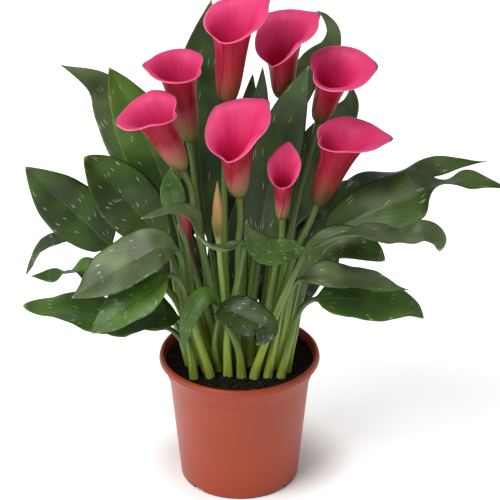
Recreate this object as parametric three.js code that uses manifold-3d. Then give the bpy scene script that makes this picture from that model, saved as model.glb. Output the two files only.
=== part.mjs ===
// A calla lily in a plastic nursery pot: a tapered pot, peat, tubers under the peat, and the plants that
// grow from them. Millimetres, +Z up, the origin in the middle of the pot's flat underside. -Y is the front.
import * as THREE from "three";
import { mergeVertices } from "three/addons/utils/BufferGeometryUtils.js";
import Module from "manifold-3d";

const wasm = await Module();
wasm.setup();

// Pot
const POT_HEIGHT = 146;
const RIM_RADIUS = 85;
const MOUTH_RADIUS = 80;
const COLLAR_RADIUS = 77.5;
const COLLAR_DEPTH = 24;
const SHOULDER_RADIUS = 74.5;
const FOOT_RADIUS = 62.5;
const WALL = 1.8;
const FLOOR = 3;
const POT_SIDES = 36;

// Peat
const SOIL_TOP = 137;
const SOIL_RELIEF = 1.3;
const SEAT_GAP = 0.4;
const STEM_HOLE_GAP = 0.4;

// Everything that grows
const BURIED = 22;
const FOOT_LEVEL = 140;
const BLADE_THICKNESS = 0.8;
const SPATHE_THICKNESS = 0.8;

// A leaf is a round stalk that rises from `foot` and turns into a blade at point `from` of its path.
// `face` holds the ways its upper side looks, from the blade's base to its tip; `wave` is how far its
// margins ripple. Paths start above the foot, and all lengths are millimetres.
const LEAVES = [
  { name: "left_long", foot: [-47, 4], stalk: 5, from: 3, width: 60, wave: 1,
    face: [[-0.1, -0.8, 0.6]],
    path: [[-67, 6, 205], [-102, 8, 240], [-131, 6, 265], [-159, 0, 301], [-189, -6, 335],
      [-219, -12, 372]] },
  { name: "left_broad", foot: [-41, -12], stalk: 5, from: 3, width: 64, wave: 1, tip: "blunt",
    face: [[0, -0.85, 0.5], [0.1, -0.85, 0.5], [0.5, -0.6, 0.6]],
    path: [[-56, -10, 190], [-62, -10, 238], [-74, -12, 277], [-100, -16, 316], [-129, -22, 355],
      [-158, -22, 388]] },
  { name: "left_high", foot: [-39, 14], stalk: 5, from: 3, width: 56, wave: 1.5, tip: "acute",
    face: [[-0.2, -0.75, 0.6], [-0.1, -0.7, 0.7]],
    path: [[-61, 20, 185], [-71, 26, 254], [-77, 30, 305], [-103, 36, 360], [-126, 40, 408],
      [-145, 42, 439], [-185, 40, 463]] },
  { name: "left_tall", foot: [-33, 1], stalk: 5, from: 3, width: 58, wave: 1,
    face: [[0.1, -0.9, 0.4]],
    path: [[-49, 8, 204], [-60, 14, 272], [-70, 16, 312], [-84, 18, 358], [-104, 16, 411],
      [-119, 12, 445], [-132, 8, 475]] },
  { name: "left_arched", foot: [-53, 14], stalk: 4.5, from: 3, width: 21, wave: 1,
    face: [[-0.3, -0.1, 0.95], [-0.5, -0.3, 0.8]],
    path: [[-84, 18, 198], [-125, 18, 252], [-154, 15, 272], [-185, 10, 277], [-208, 6, 266],
      [-223, 2, 237]] },
  { name: "left_twisted", foot: [-54, -12], stalk: 4, from: 3, width: 35, wave: 1, tip: "acute",
    face: [[0, -0.4, 0.9], [0, -0.35, 0.93], [0, 0.5, 0.86], [0, -0.3, 0.95], [0, -0.45, 0.85]],
    path: [[-74, -10, 205], [-109, -16, 243], [-135, -18, 255], [-161, -18, 254], [-179, -20, 252],
      [-198, -22, 249], [-217, -24, 250]] },
  { name: "left_over", foot: [-35, -25], stalk: 5, from: 3, width: 61, wave: 2.5,
    face: [[-0.1, -0.5, 0.85], [-0.2, -0.45, 0.85]],
    path: [[-51, -32, 201], [-57, -40, 253], [-62, -46, 290], [-81, -52, 300], [-101, -57, 292],
      [-128, -62, 278], [-155, -66, 259], [-172, -68, 249]] },
  { name: "left_low", foot: [-49, -25], stalk: 4.5, from: 2, width: 62, wave: 4, tip: "blunt",
    face: [[0, -0.1, 1]],
    path: [[-57, -26, 168], [-71, -24, 186], [-93, -22, 194], [-125, -22, 198], [-156, -22, 204],
      [-189, -22, 210], [-226, -20, 213]] },
  { name: "left_bright", foot: [-31, -38], stalk: 4.5, from: 3, width: 48, wave: 2,
    face: [[-0.3, -0.55, 0.8], [-0.2, -0.6, 0.75]],
    path: [[-44, -50, 196], [-56, -54, 249], [-71, -58, 271], [-89, -66, 259], [-114, -74, 245],
      [-137, -80, 228], [-152, -82, 215]] },
  { name: "left_front", foot: [-48, -38], stalk: 4.5, from: 2, width: 56, wave: 4,
    face: [[0, -0.3, 0.95]],
    path: [[-52, -38, 172], [-62, -42, 208], [-82, -48, 221], [-109, -54, 219], [-134, -58, 211],
      [-152, -62, 209]] },
  { name: "left_inner", foot: [-28, -12], stalk: 3.5, from: 3, width: 26, wave: 0.5,
    face: [[0.1, -0.95, 0.3]],
    path: [[-45, -22, 196], [-53, -32, 285], [-63, -40, 330], [-68, -44, 361], [-69, -46, 388]] },
  { name: "centre_curled", foot: [-12, -38], stalk: 4.5, from: 3, width: 30, wave: 2,
    face: [[0, -0.2, 0.97], [0, 0.25, 0.97], [0.3, -0.1, 0.95], [0, -0.15, 1], [0, -0.2, 1]],
    path: [[-12, -42, 196], [1, -46, 270], [4, -52, 305], [-15, -60, 303], [-34, -64, 311],
      [-40, -66, 330], [-48, -66, 344], [-62, -66, 351], [-78, -65, 348], [-100, -64, 339]] },
  { name: "centre_drooped", foot: [-21, -25], stalk: 4, from: 2, width: 21, wave: 1,
    face: [[0.5, -0.5, 0.7], [0.2, -0.6, 0.8], [-0.6, -0.7, 0.3]],
    path: [[-26, -42, 178], [-21, -50, 227], [-31, -58, 247], [-44, -66, 241], [-54, -74, 221],
      [-58, -78, 192]] },
  { name: "centre_dome", foot: [2, -38], stalk: 4.5, from: 3, width: 42, wave: 2,
    face: [[0, -0.5, 0.85], [0, -0.6, 0.8], [0.1, -0.8, 0.6]],
    path: [[-1, -44, 173], [-13, -50, 206], [-24, -58, 223], [-10, -68, 234], [8, -76, 230],
      [26, -84, 224], [24, -88, 213], [18, -90, 206]] },
  { name: "centre_saddle", foot: [16, -38], stalk: 4.5, from: 4, width: 33, wave: 1.5,
    face: [[0, -0.5, 0.85], [0, -0.55, 0.85], [0.2, -0.6, 0.8], [0.5, -0.6, 0.6]],
    path: [[30, -52, 196], [44, -60, 242], [61, -68, 287], [68, -72, 307], [53, -77, 310],
      [33, -81, 310], [19, -83, 318], [11, -84, 330], [7, -84, 347]] },
  { name: "back_tall", foot: [-12, 14], stalk: 5, from: 2, width: 60, wave: 1,
    face: [[0, -1, 0.3]],
    path: [[-20, 30, 192], [-31, 46, 252], [-38, 56, 297], [-42, 62, 352], [-43, 64, 409],
      [-38, 64, 465], [-28, 62, 526]] },
  { name: "middle_tall", foot: [12, -12], stalk: 5, from: 2, width: 54, wave: 1,
    face: [[0.1, -1, 0.3]],
    path: [[12, -8, 189], [19, -4, 250], [24, -2, 305], [34, 0, 359], [46, 2, 409], [59, 2, 450],
      [71, 0, 481]] },
  { name: "middle_bright", shoot: "middle", foot: [4, 14], stalk: 4, from: 2, width: 30, wave: 0.5,
    face: [[0.3, -0.9, 0.3]],
    path: [[4, 13, 202], [8, 13, 290], [13, 9, 366], [18, 4, 415], [22, 1, 450], [24, 0, 480]] },
  { name: "middle_dark", shoot: "middle", foot: [10, 16], stalk: 4, from: 2, width: 34, wave: 0.5,
    face: [[-0.4, -0.9, 0.3]],
    path: [[13, 22, 196], [11, 30, 282], [9, 34, 356], [10, 35, 402], [12, 35, 430], [14, 35, 455]] },
  { name: "right_hooked", foot: [27, 14], stalk: 4.5, from: 2, width: 36, wave: 1,
    face: [[-0.3, 0.3, 0.9], [-0.5, 0.2, 0.8], [-0.3, -0.8, 0.4], [0.3, -0.9, 0.2]],
    path: [[32, 30, 190], [39, 41, 284], [45, 62, 352], [60, 78, 407], [75, 85, 440], [93, 87, 458],
      [97, 88, 477], [89, 89, 493], [78, 89, 501]] },
  { name: "right_back", foot: [40, 14], stalk: 5, from: 2, width: 50, wave: 1,
    face: [[0.1, -0.9, 0.45]],
    path: [[47, 24, 195], [56, 40, 269], [68, 50, 323], [83, 54, 356], [98, 56, 381], [114, 56, 408],
      [116, 54, 432]] },
  { name: "middle_grey", foot: [19, 1], stalk: 4, from: 2, width: 34, wave: 1,
    face: [[-0.5, -0.4, 0.8]],
    path: [[26, 14, 200], [36, 30, 286], [45, 38, 354], [52, 42, 389], [60, 46, 419], [68, 47, 443],
      [74, 46, 460]] },
  { name: "right_upper", foot: [46, 1], stalk: 5, from: 3, width: 47, wave: 2, tip: "acute",
    face: [[0, -0.75, 0.7], [0, -0.5, 0.85], [0, 0.2, 1], [0, -0.3, 0.95], [0, -0.2, 0.97]],
    path: [[59, 12, 202], [74, 24, 249], [90, 32, 276], [111, 34, 303], [148, 34, 329], [188, 34, 342],
      [222, 36, 350], [259, 38, 352]] },
  { name: "right_broad", foot: [39, -12], stalk: 5, from: 3, width: 62, wave: 2, tip: "acute",
    face: [[0.1, -0.85, 0.6], [0.1, -0.8, 0.65], [0.05, -0.65, 0.75], [0, -0.55, 0.85], [0, 0.42, 0.9],
      [0, -0.5, 0.87], [0, -0.6, 0.8]],
    path: [[51, -14, 192], [63, -14, 246], [85, -12, 287], [115, -12, 308], [151, -12, 326],
      [175, -12, 335], [196, -12, 347], [213, -12, 353], [229, -12, 357], [250, -12, 354],
      [279, -12, 345]] },
  { name: "right_waved", foot: [36, -25], stalk: 4.5, from: 3, width: 40, wave: 4, tip: "blunt",
    face: [[0, -0.1, 1], [0, 0.2, 0.98], [0, 0.22, 0.97], [0, 0.1, 0.98], [0.2, -0.5, 0.85],
      [0.3, -0.7, 0.6]],
    path: [[47, -34, 191], [55, -44, 252], [67, -54, 296], [80, -58, 308], [110, -62, 319],
      [138, -63, 321], [167, -63, 320], [188, -64, 324], [202, -66, 317], [204, -68, 303]] },
  { name: "right_drooped", foot: [50, -25], stalk: 4.5, from: 2, width: 40, wave: 1.5, tip: "blunt",
    face: [[0.1, -0.6, 0.75], [0.1, -0.65, 0.7]],
    path: [[58, -24, 183], [67, -27, 238], [82, -32, 276], [99, -35, 295], [118, -39, 296],
      [136, -43, 290], [150, -45, 280]] },
  { name: "right_lower", foot: [30, -38], stalk: 4.5, from: 3, width: 34, wave: 3, tip: "acute",
    face: [[-0.1, -0.35, 0.93]],
    path: [[38, -46, 192], [47, -52, 241], [61, -60, 266], [85, -66, 276], [113, -68, 273],
      [146, -70, 267], [176, -72, 260]] },
  { name: "right_low", foot: [44, -38], stalk: 4.5, from: 3, width: 62, wave: 2,
    face: [[0, -0.3, 0.95]],
    path: [[53, -38, 182], [61, -37, 213], [76, -38, 230], [109, -42, 234], [137, -46, 233],
      [164, -48, 231], [180, -49, 225], [191, -50, 214]] },
  { name: "back_left_1", shoot: "back_left", foot: [-32, 30], stalk: 4.5, from: 2, width: 54, wave: 2,
    face: [[0, 0, 1]],
    path: [[-44, 44, 200], [-66, 64, 262], [-92, 86, 296], [-120, 106, 296], [-146, 124, 272]] },
  { name: "back_left_2", shoot: "back_left", foot: [-27, 34], stalk: 4.5, from: 2, width: 50, wave: 2,
    face: [[0, 0, 1]],
    path: [[-36, 52, 205], [-46, 80, 268], [-58, 112, 300], [-70, 144, 296], [-80, 174, 268]] },
  { name: "back_left_3", shoot: "back_left", foot: [-36, 32], stalk: 5, from: 2, width: 46, wave: 1,
    face: [[0.1, -0.9, 0.4]],
    path: [[-44, 48, 196], [-54, 58, 244], [-61, 68, 288], [-65, 76, 328], [-70, 80, 360]] },
  { name: "back_middle_1", shoot: "back_middle", foot: [3, 36], stalk: 4.5, from: 2, width: 56, wave: 2,
    face: [[0, 0, 1]],
    path: [[6, 60, 205], [6, 92, 264], [6, 126, 294], [4, 160, 290], [2, 196, 262]] },
  { name: "back_middle_2", shoot: "back_middle", foot: [9, 38], stalk: 4.5, from: 2, width: 52, wave: 2,
    face: [[0, 0, 1]],
    path: [[16, 58, 200], [32, 88, 255], [52, 118, 280], [72, 146, 274], [90, 172, 244]] },
  { name: "back_middle_3", shoot: "back_middle", foot: [-3, 38], stalk: 5, from: 2, width: 48, wave: 1,
    face: [[0.1, -0.9, 0.4]],
    path: [[-9, 54, 195], [-12, 66, 246], [-13, 76, 292], [-13, 82, 334], [-11, 86, 372]] },
  { name: "back_right_1", shoot: "back_right", foot: [38, 28], stalk: 4.5, from: 2, width: 54, wave: 2,
    face: [[0, 0, 1]],
    path: [[50, 42, 200], [76, 62, 258], [106, 80, 286], [138, 96, 282], [166, 110, 256]] },
  { name: "back_right_2", shoot: "back_right", foot: [34, 33], stalk: 4.5, from: 2, width: 50, wave: 2,
    face: [[0, 0, 1]],
    path: [[42, 54, 190], [58, 84, 230], [78, 112, 246], [98, 136, 236], [116, 156, 206]] },
  { name: "back_right_3", shoot: "back_right", foot: [30, 38], stalk: 5, from: 2, width: 38, wave: 1,
    face: [[-0.1, -0.9, 0.4]],
    path: [[28, 48, 196], [24, 56, 248], [21, 61, 298], [20, 64, 340], [22, 66, 376]] },
  { name: "back_left_4", shoot: "back_left", foot: [-40, 27], stalk: 4.5, from: 1, width: 56, wave: 2,
    face: [[-0.1, -0.9, 0.4]],
    path: [[-47, 36, 170], [-56, 44, 205], [-66, 48, 240], [-80, 50, 268], [-98, 50, 285]] },
  { name: "back_middle_4", shoot: "back_middle", foot: [3, 30], stalk: 4.5, from: 1, width: 48, wave: 2,
    face: [[0, -1, 0.3]],
    path: [[4, 34, 165], [5, 40, 205], [5, 44, 245], [5, 48, 285], [5, 52, 318]] },
  { name: "back_right_4", shoot: "back_right", foot: [24, 34], stalk: 4.5, from: 1, width: 42, wave: 2,
    face: [[0, -1, 0.3]],
    path: [[29, 38, 165], [37, 47, 205], [43, 55, 240], [48, 62, 268], [53, 70, 292]] },
  { name: "back_right_5", shoot: "back_right", foot: [43, 26], stalk: 4.5, from: 1, width: 56, wave: 2,
    face: [[0.1, -0.9, 0.4]],
    path: [[52, 34, 175], [62, 42, 212], [74, 46, 245], [88, 48, 268], [104, 48, 282]] },
  { name: "back_middle_5", shoot: "back_middle", foot: [-8, 33], stalk: 4.5, from: 1, width: 35, wave: 2,
    face: [[0, -1, 0.3]],
    path: [[-11, 39, 160], [-14, 49, 190], [-16, 58, 222], [-19, 66, 256], [-21, 72, 290]] },
];

// A bloom stands on its own stem. `base` is where the spathe leaves the stem, `axis` the way it points
// and `tip` the side its pointed tip leans to. `lip`, `side` and `back` are the radius and height of its
// rim where the margins cross, at both sides and under the tip, `tube` its radius lower down, and `tail`
// its tip's length.
const BLOOMS = [
  { name: "top_left", foot: [-7, 1], path: [[-14, 4, 230], [-15, 4, 340]], base: [-12, 6, 435],
    axis: [0.07, -0.05, 1], tip: [0.85, 0.5, 0],
    lip: [23, 80], side: [36, 98], back: [34, 112], tube: 14, tail: 6 },
  { name: "top_right", foot: [6, 1], path: [[14, 5, 230], [28, 18, 340]], base: [45, 28, 430],
    axis: [0, -0.05, 1], tip: [0.9, 0.45, 0],
    lip: [20, 45], side: [38, 80], back: [35, 87], tube: 13, tail: 6 },
  { name: "right_upper", foot: [32, 1], path: [[42, 6, 220], [60, 16, 318]], base: [82, 26, 404],
    axis: [0.22, -0.3, 1], tip: [1, 0.1, 0],
    lip: [25, 68], side: [34, 75], back: [38, 83], tube: 12, tail: 5 },
  { name: "left_upper", foot: [-25, 14], path: [[-34, 18, 220], [-43, 22, 308]], base: [-51, 22, 384],
    axis: [-0.12, -0.1, 1], tip: [-1, 0.1, 0],
    lip: [27, 88], side: [34, 91], back: [32, 93], tube: 13, tail: 5 },
  { name: "left", foot: [-15, -12], path: [[-26, -14, 220], [-43, -24, 306]], base: [-58, -30, 377],
    axis: [-0.4, -0.08, 1], tip: [-1, 0, 0],
    lip: [23, 68], side: [36, 80], back: [38, 77], tube: 12.5, tail: 4 },
  { name: "front", foot: [-1, -25], path: [[-2, -28, 210], [-1, -30, 285]], base: [0, -30, 347],
    axis: [-0.04, -0.1, 1], tip: [0.82, 0.57, 0],
    lip: [21, 54], side: [39, 88], back: [35, 99], tube: 13, tail: 6 },
  { name: "right", foot: [26, -12], path: [[38, -14, 200], [58, -18, 275]], base: [80, -18, 332],
    axis: [0.35, -0.05, 1], tip: [1, 0, 0],
    lip: [29, 73], side: [37, 87], back: [39, 96], tube: 13.5, tail: 8 },
  { name: "small", foot: [22, -25], path: [[28, -28, 200], [38, -32, 270]], base: [44, -34, 324],
    axis: [0.03, -0.15, 1], tip: [0.25, 1, 0],
    lip: [9, 44], side: [17, 68], back: [14, 83], tube: 7.5, tail: 4 },
];

// The two buds are closed: a green one that is still one piece with its stem, and a pink one.
const GREEN_BUD = {
  foot: [-11, -26], path: [[-15, -34, 220], [-21, -40, 299]], tip: [-22, -42, 371], radius: 6,
};
const PINK_BUD = {
  foot: [-20, 1], path: [[-38, 0, 210], [-54, -2, 278]], tip: [-58, -4, 337], radius: 7.5,
};
const BUD_STALK = 4;
const BUD_NECK = 2.8;
const BUD_TIP = 0.5;

const STEM_RADIUS = 3.4;
const STEM_FOOT = 4.4;
const SPATHE_FOOT = 4.2;
const STEM_IN_SPATHE = 7;

const TUBERS = [
  { name: "left", centre: [-31, -2], radius: 29 },
  { name: "right", centre: [31, -2], radius: 29 },
];
const TUBER_TOP = SOIL_TOP - BURIED - 0.3;
const TUBER_HEIGHT = 27;

const material = (name, color, roughness) =>
  new THREE.MeshStandardMaterial({ name, color, roughness, metalness: 0 });
const TERRACOTTA = material("terracotta_plastic", 0xb0583f, 0.5);
const PEAT = material("peat", 0x2b211b, 1);
const TUBER_SKIN = material("tuber_skin", 0x7a5a3c, 0.9);
const LEAF = material("leaf", 0x2f5a2c, 0.45);
const STEM = material("stem", 0x8fae4a, 0.5);
const SPATHE = material("spathe", 0xd4286e, 0.45);
const SPADIX = material("spadix", 0xe8a52a, 0.8);
const GREEN_SKIN = material("green_bud", 0xa9a64c, 0.5);
const PINK_SKIN = material("pink_bud", 0xb8305f, 0.5);

const V = (a) => new THREE.Vector3(a[0], a[1], a[2]);
const mix = (a, b, k) => a + (b - a) * k;
const smooth = (low, high, x) => {
  const k = Math.min(1, Math.max(0, (x - low) / (high - low)));
  return k * k * (3 - 2 * k);
};

// A smooth curve through points, asked for by its length from the first point.
function curveThrough(points) {
  const last = points.length - 1;
  const at = (s) => {
    const i = Math.max(0, Math.min(Math.floor(s), last - 1));
    const f = s - i;
    const b = points[i];
    const c = points[i + 1];
    const a = i > 0 ? points[i - 1] : b.clone().multiplyScalar(2).sub(c);
    const d = i + 2 <= last ? points[i + 2] : c.clone().multiplyScalar(2).sub(b);
    const one = (p, q, r, t) =>
      0.5 * (2 * q + (r - p) * f + (2 * p - 5 * q + 4 * r - t) * f * f + (3 * q - p - 3 * r + t) * f * f * f);
    return new THREE.Vector3(one(a.x, b.x, c.x, d.x), one(a.y, b.y, c.y, d.y), one(a.z, b.z, c.z, d.z));
  };
  const STEPS = 24;
  const lengths = [0];
  let before = at(0);
  for (let i = 1; i <= last * STEPS; i++) {
    const now = at(i / STEPS);
    lengths.push(lengths[i - 1] + now.distanceTo(before));
    before = now;
  }
  const where = (length) => {
    let i = 1;
    while (i < last * STEPS && lengths[i] < length) i++;
    return (i - 1 + (length - lengths[i - 1]) / (lengths[i] - lengths[i - 1])) / STEPS;
  };
  return {
    length: lengths[last * STEPS],
    lengthTo: (index) => lengths[index * STEPS],
    point: (length) => at(where(length)),
    tangent: (length) => {
      const s = Math.min(last - 0.02, Math.max(0.02, where(length)));
      return at(s + 0.02).sub(at(s - 0.02)).normalize();
    },
  };
}

// A closed skin over rings that all have as many points, with a fan at each end.
function skinOver(rings) {
  const n = rings[0].length;
  const positions = rings.flat().flatMap((p) => [p.x, p.y, p.z]);
  const index = [];
  for (let i = 0; i + 1 < rings.length; i++) {
    for (let j = 0; j < n; j++) {
      const a = i * n + j;
      const b = i * n + ((j + 1) % n);
      if (2 * j < n) index.push(a, b, a + n, b, b + n, a + n);
      else index.push(a, b, b + n, a, b + n, a + n);
    }
  }
  const end = (rings.length - 1) * n;
  for (let j = 0; 2 * j + 2 < n; j++) {
    const far = n - 1 - j;
    index.push(j, far, j + 1);
    index.push(end + j, end + j + 1, end + far);
    if (far - 1 > j + 1) {
      index.push(far, far - 1, j + 1);
      index.push(end + far, end + j + 1, end + far - 1);
    }
  }
  const geometry = new THREE.BufferGeometry();
  geometry.setAttribute("position", new THREE.Float32BufferAttribute(positions, 3));
  geometry.setIndex(index);
  return geometry;
}

function solidOf(geometry) {
  const plain = geometry.clone();
  plain.deleteAttribute("normal");
  plain.deleteAttribute("uv");
  const merged = mergeVertices(plain, 1e-4);
  return new wasm.Manifold(
    new wasm.Mesh({
      numProp: 3,
      vertProperties: new Float32Array(merged.attributes.position.array),
      triVerts: new Uint32Array(merged.index.array),
    }),
  );
}

const root = new THREE.Group();

function addSolid(name, solid, look) {
  const made = solid.getMesh();
  const geometry = new THREE.BufferGeometry();
  geometry.setAttribute("position", new THREE.BufferAttribute(new Float32Array(made.vertProperties), 3));
  geometry.setIndex(new THREE.BufferAttribute(new Uint32Array(made.triVerts), 1));
  geometry.computeVertexNormals();
  const mesh = new THREE.Mesh(geometry, look);
  mesh.name = name;
  root.add(mesh);
}

// The way a leaf's upper side looks at share k of its blade, square to the leaf's own run.
function faceAt(spec, k, tangent) {
  const count = spec.face.length - 1;
  const place = Math.min(count, Math.max(0, k * count));
  const i = Math.min(Math.floor(place), Math.max(0, count - 1));
  const face = V(spec.face[i]).normalize();
  if (count > 0) face.lerp(V(spec.face[i + 1]).normalize(), smooth(0, 1, place - i));
  return face.addScaledVector(tangent, -face.dot(tangent)).normalize();
}

const TIP_POWER = { acute: 1.3, plain: 1, blunt: 0.75 };
const BASE_POWER = 0.8;

// Half the width of a blade at share k of its length, against 1 at its widest.
function outline(k, power) {
  const total = BASE_POWER + power;
  const top = Math.pow(total, total) / (Math.pow(BASE_POWER, BASE_POWER) * Math.pow(power, power));
  return top * Math.pow(k, BASE_POWER) * Math.pow(1 - k, power);
}

// Where a blade's skin has its points, across and along it. Leaves at the back get fewer.
const FINE = { columns: [-1, -0.55, 0, 0.55, 1], rings: [0, 0.06, 0.16, 0.3, 0.45, 0.6, 0.75, 0.89, 1] };
const COARSE = { columns: [-1, 0, 1], rings: [0, 0.12, 0.32, 0.56, 0.8, 1] };
const WAVES = 2;
const FOLD = 0.16;
const CURL = 0.06;
const NECK = 0.6;
const FLAT_FROM = 0.1;
const LEAST_HALF = 0.9;
const STALK_STEP = 56;

// Every stalk starts in the peat and leaves it upright.
function footPoints(foot) {
  const low = new THREE.Vector3(foot[0], foot[1], SOIL_TOP - BURIED);
  return [low, new THREE.Vector3(foot[0], foot[1], FOOT_LEVEL)];
}

function leafSolid(spec, phase) {
  const points = [...footPoints(spec.foot), ...spec.path.map(V)];
  const curve = curveThrough(points);
  const stalk = curve.lengthTo(spec.from + 1);
  const blade = curve.length - stalk;
  const power = TIP_POWER[spec.tip ?? "plain"];
  const { columns, rings: shares } = spec.shoot?.startsWith("back") ? COARSE : FINE;
  const count = columns.length;
  const ring = (length, k) => {
    const centre = curve.point(length);
    const tangent = curve.tangent(length);
    const up = faceAt(spec, k, tangent);
    const side = tangent.clone().cross(up);
    const flat = smooth(0, FLAT_FROM, k);
    const round = spec.stalk * mix(1, NECK, Math.min(1, length / stalk));
    const half = Math.max(LEAST_HALF, (spec.width / 2) * outline(Math.min(1, k), power));
    const place = (column, sign) => {
      const v = columns[column];
      const angle = sign * Math.PI * (1 - (column + 0.5) / count);
      const swing = Math.sin(2 * Math.PI * WAVES * k + phase + v);
      const ripple = spec.wave * v * v * Math.sqrt(4 * k * (1 - k)) * swing;
      const lift = half * (FOLD * Math.abs(v) - CURL * v * v) + ripple;
      const rib = sign < 0 && v === 0 ? 1.2 * spec.stalk * Math.pow(1 - k, 2.5) : 0;
      const across = mix(Math.cos(angle) * round, v * half, flat);
      const high = mix(Math.sin(angle) * round, lift + (sign * BLADE_THICKNESS) / 2 - rib, flat);
      return centre.clone().addScaledVector(side, across).addScaledVector(up, high);
    };
    const top = columns.map((_, i) => place(i, 1));
    const under = columns.map((_, i) => place(count - 1 - i, -1));
    return [...top, ...under];
  };
  const low = FOOT_LEVEL - SOIL_TOP + BURIED;
  const steps = Math.max(2, Math.round((stalk - low) / STALK_STEP));
  const rings = [ring(0, 0)];
  for (let i = 0; i < steps; i++) rings.push(ring(mix(low, stalk, i / steps), 0));
  for (const k of shares) rings.push(ring(stalk + blade * k, k));
  return solidOf(skinOver(rings));
}

// A round rod along points, with a radius for each share of its length, as [share, radius] pairs.
function rodSolid(points, radii, sides, steps) {
  const curve = curveThrough(points);
  const radiusAt = (k) => {
    const i = Math.max(1, radii.findIndex((pair) => pair[0] >= k - 1e-9));
    const before = radii[i - 1];
    const after = radii[i];
    return mix(before[1], after[1], (k - before[0]) / (after[0] - before[0]));
  };
  const rings = steps.map((k) => {
    const centre = curve.point(k * curve.length);
    const tangent = curve.tangent(k * curve.length);
    const side = new THREE.Vector3(0, 1, 0).cross(tangent).normalize();
    const other = tangent.clone().cross(side);
    const r = radiusAt(k);
    return Array.from({ length: sides }, (_, j) => {
      const angle = (2 * Math.PI * j) / sides;
      const rim = centre.clone().addScaledVector(side, r * Math.cos(angle));
      return rim.addScaledVector(other, r * Math.sin(angle));
    });
  });
  return solidOf(skinOver(rings));
}

// Cutter for the plain hole that a stalk stands in.
const SLEEVE_SIDES = 6;
const SLEEVE_LENGTH = 30;
function sleeveSolid(foot, radius) {
  const corner = (radius + STEM_HOLE_GAP) / Math.cos(Math.PI / SLEEVE_SIDES);
  const middle = SOIL_TOP - BURIED - STEM_HOLE_GAP + SLEEVE_LENGTH / 2;
  const sleeve = new THREE.CylinderGeometry(corner, corner, SLEEVE_LENGTH, SLEEVE_SIDES);
  return solidOf(sleeve.rotateX(Math.PI / 2).translate(foot[0], foot[1], middle));
}

const SPATHE_SWELL = 12;
const MARGIN_CROSSING = 0.5;

// A point of a spathe's middle surface in its own frame: u runs round it from margin to margin, with the
// tip at 0, and v runs up from its foot to its rim. One margin wraps over the other.
function spathePoint(spec, u, v) {
  const angle = u * (Math.PI - 0.02 + MARGIN_CROSSING * smooth(0.05, 0.6, v));
  const back = Math.pow(Math.max(0, Math.cos(angle)), 1.2);
  const front = Math.abs(angle) > Math.PI / 2 ? Math.max(0, -Math.cos(angle)) : 0;
  const tail = Math.exp(-Math.pow(angle / 0.26, 2));
  const share = v * (1 - 0.12 * smooth(0.65, 1, Math.abs(u)));
  const end = (axis, lip) => mix(mix(spec.side[axis], spec.back[axis], back), spec.lip[axis], lip);
  const rim = [
    end(0, Math.pow(front, 2.3)) + spec.tail * tail,
    end(1, 1 - Math.pow(1 - front, 1.35)) + 0.2 * spec.tail * tail,
  ];
  const neck = [0.62 * spec.tube - 1.5 * Math.pow(front, 1.8), 0.99 * rim[1] + 2 * tail];
  const w = 1 - share;
  const bezier = (a, b, c, d) =>
    w * w * w * a + 3 * w * w * share * b + 3 * w * share * share * c + share * share * share * d;
  const radius = bezier(SPATHE_FOOT, 1.45 * spec.tube, neck[0], rim[0]) + u * smooth(0, 0.05, v);
  const height = bezier(0, SPATHE_SWELL, neck[1], rim[1]);
  return new THREE.Vector3(radius * Math.cos(angle), radius * Math.sin(angle), height);
}

const SPATHE_U = [-1, -0.8, -0.58, -0.38, -0.16, 0, 0.16, 0.38, 0.58, 0.8, 1];
const SPATHE_V = [0, 0.05, 0.2, 0.45, 0.7, 0.87, 1];

function spatheSolid(spec, frame) {
  const normalAt = (u, v) => {
    const e = 1e-3;
    const du = spathePoint(spec, u + e, v).sub(spathePoint(spec, u - e, v));
    const dv = spathePoint(spec, u, Math.min(1, v + e)).sub(spathePoint(spec, u, Math.max(0, v - e)));
    return du.cross(dv).normalize();
  };
  const nu = SPATHE_U.length;
  const nv = SPATHE_V.length;
  const positions = [];
  for (const sign of [1, -1]) {
    for (const v of SPATHE_V) {
      for (const u of SPATHE_U) {
        const p = spathePoint(spec, u, v).addScaledVector(normalAt(u, v), (sign * SPATHE_THICKNESS) / 2);
        p.applyMatrix4(frame);
        positions.push(p.x, p.y, p.z);
      }
    }
  }
  const at = (side, i, j) => side * nu * nv + j * nu + i;
  const index = [];
  const quad = (a, b, c, d) => index.push(a, b, c, a, c, d);
  for (let j = 0; j + 1 < nv; j++) {
    for (let i = 0; i + 1 < nu; i++) {
      index.push(at(0, i, j), at(0, i + 1, j), at(0, i + 1, j + 1));
      index.push(at(0, i, j), at(0, i + 1, j + 1), at(0, i, j + 1));
      index.push(at(1, i, j), at(1, i + 1, j + 1), at(1, i + 1, j));
      index.push(at(1, i, j), at(1, i, j + 1), at(1, i + 1, j + 1));
    }
  }
  for (let i = 0; i + 1 < nu; i++) {
    quad(at(0, i, 0), at(1, i, 0), at(1, i + 1, 0), at(0, i + 1, 0));
    quad(at(0, i, nv - 1), at(0, i + 1, nv - 1), at(1, i + 1, nv - 1), at(1, i, nv - 1));
  }
  for (let j = 0; j + 1 < nv; j++) {
    quad(at(0, 0, j), at(0, 0, j + 1), at(1, 0, j + 1), at(1, 0, j));
    quad(at(0, nu - 1, j), at(1, nu - 1, j), at(1, nu - 1, j + 1), at(0, nu - 1, j + 1));
  }
  const geometry = new THREE.BufferGeometry();
  geometry.setAttribute("position", new THREE.Float32BufferAttribute(positions, 3));
  geometry.setIndex(index);
  return solidOf(geometry);
}

// The finger of florets inside a spathe, with its florets as low bumps.
const SPADIX_SIDES = 6;
const SPADIX_STEPS = 6;
const FLORET_RELIEF = 0.35;

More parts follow.
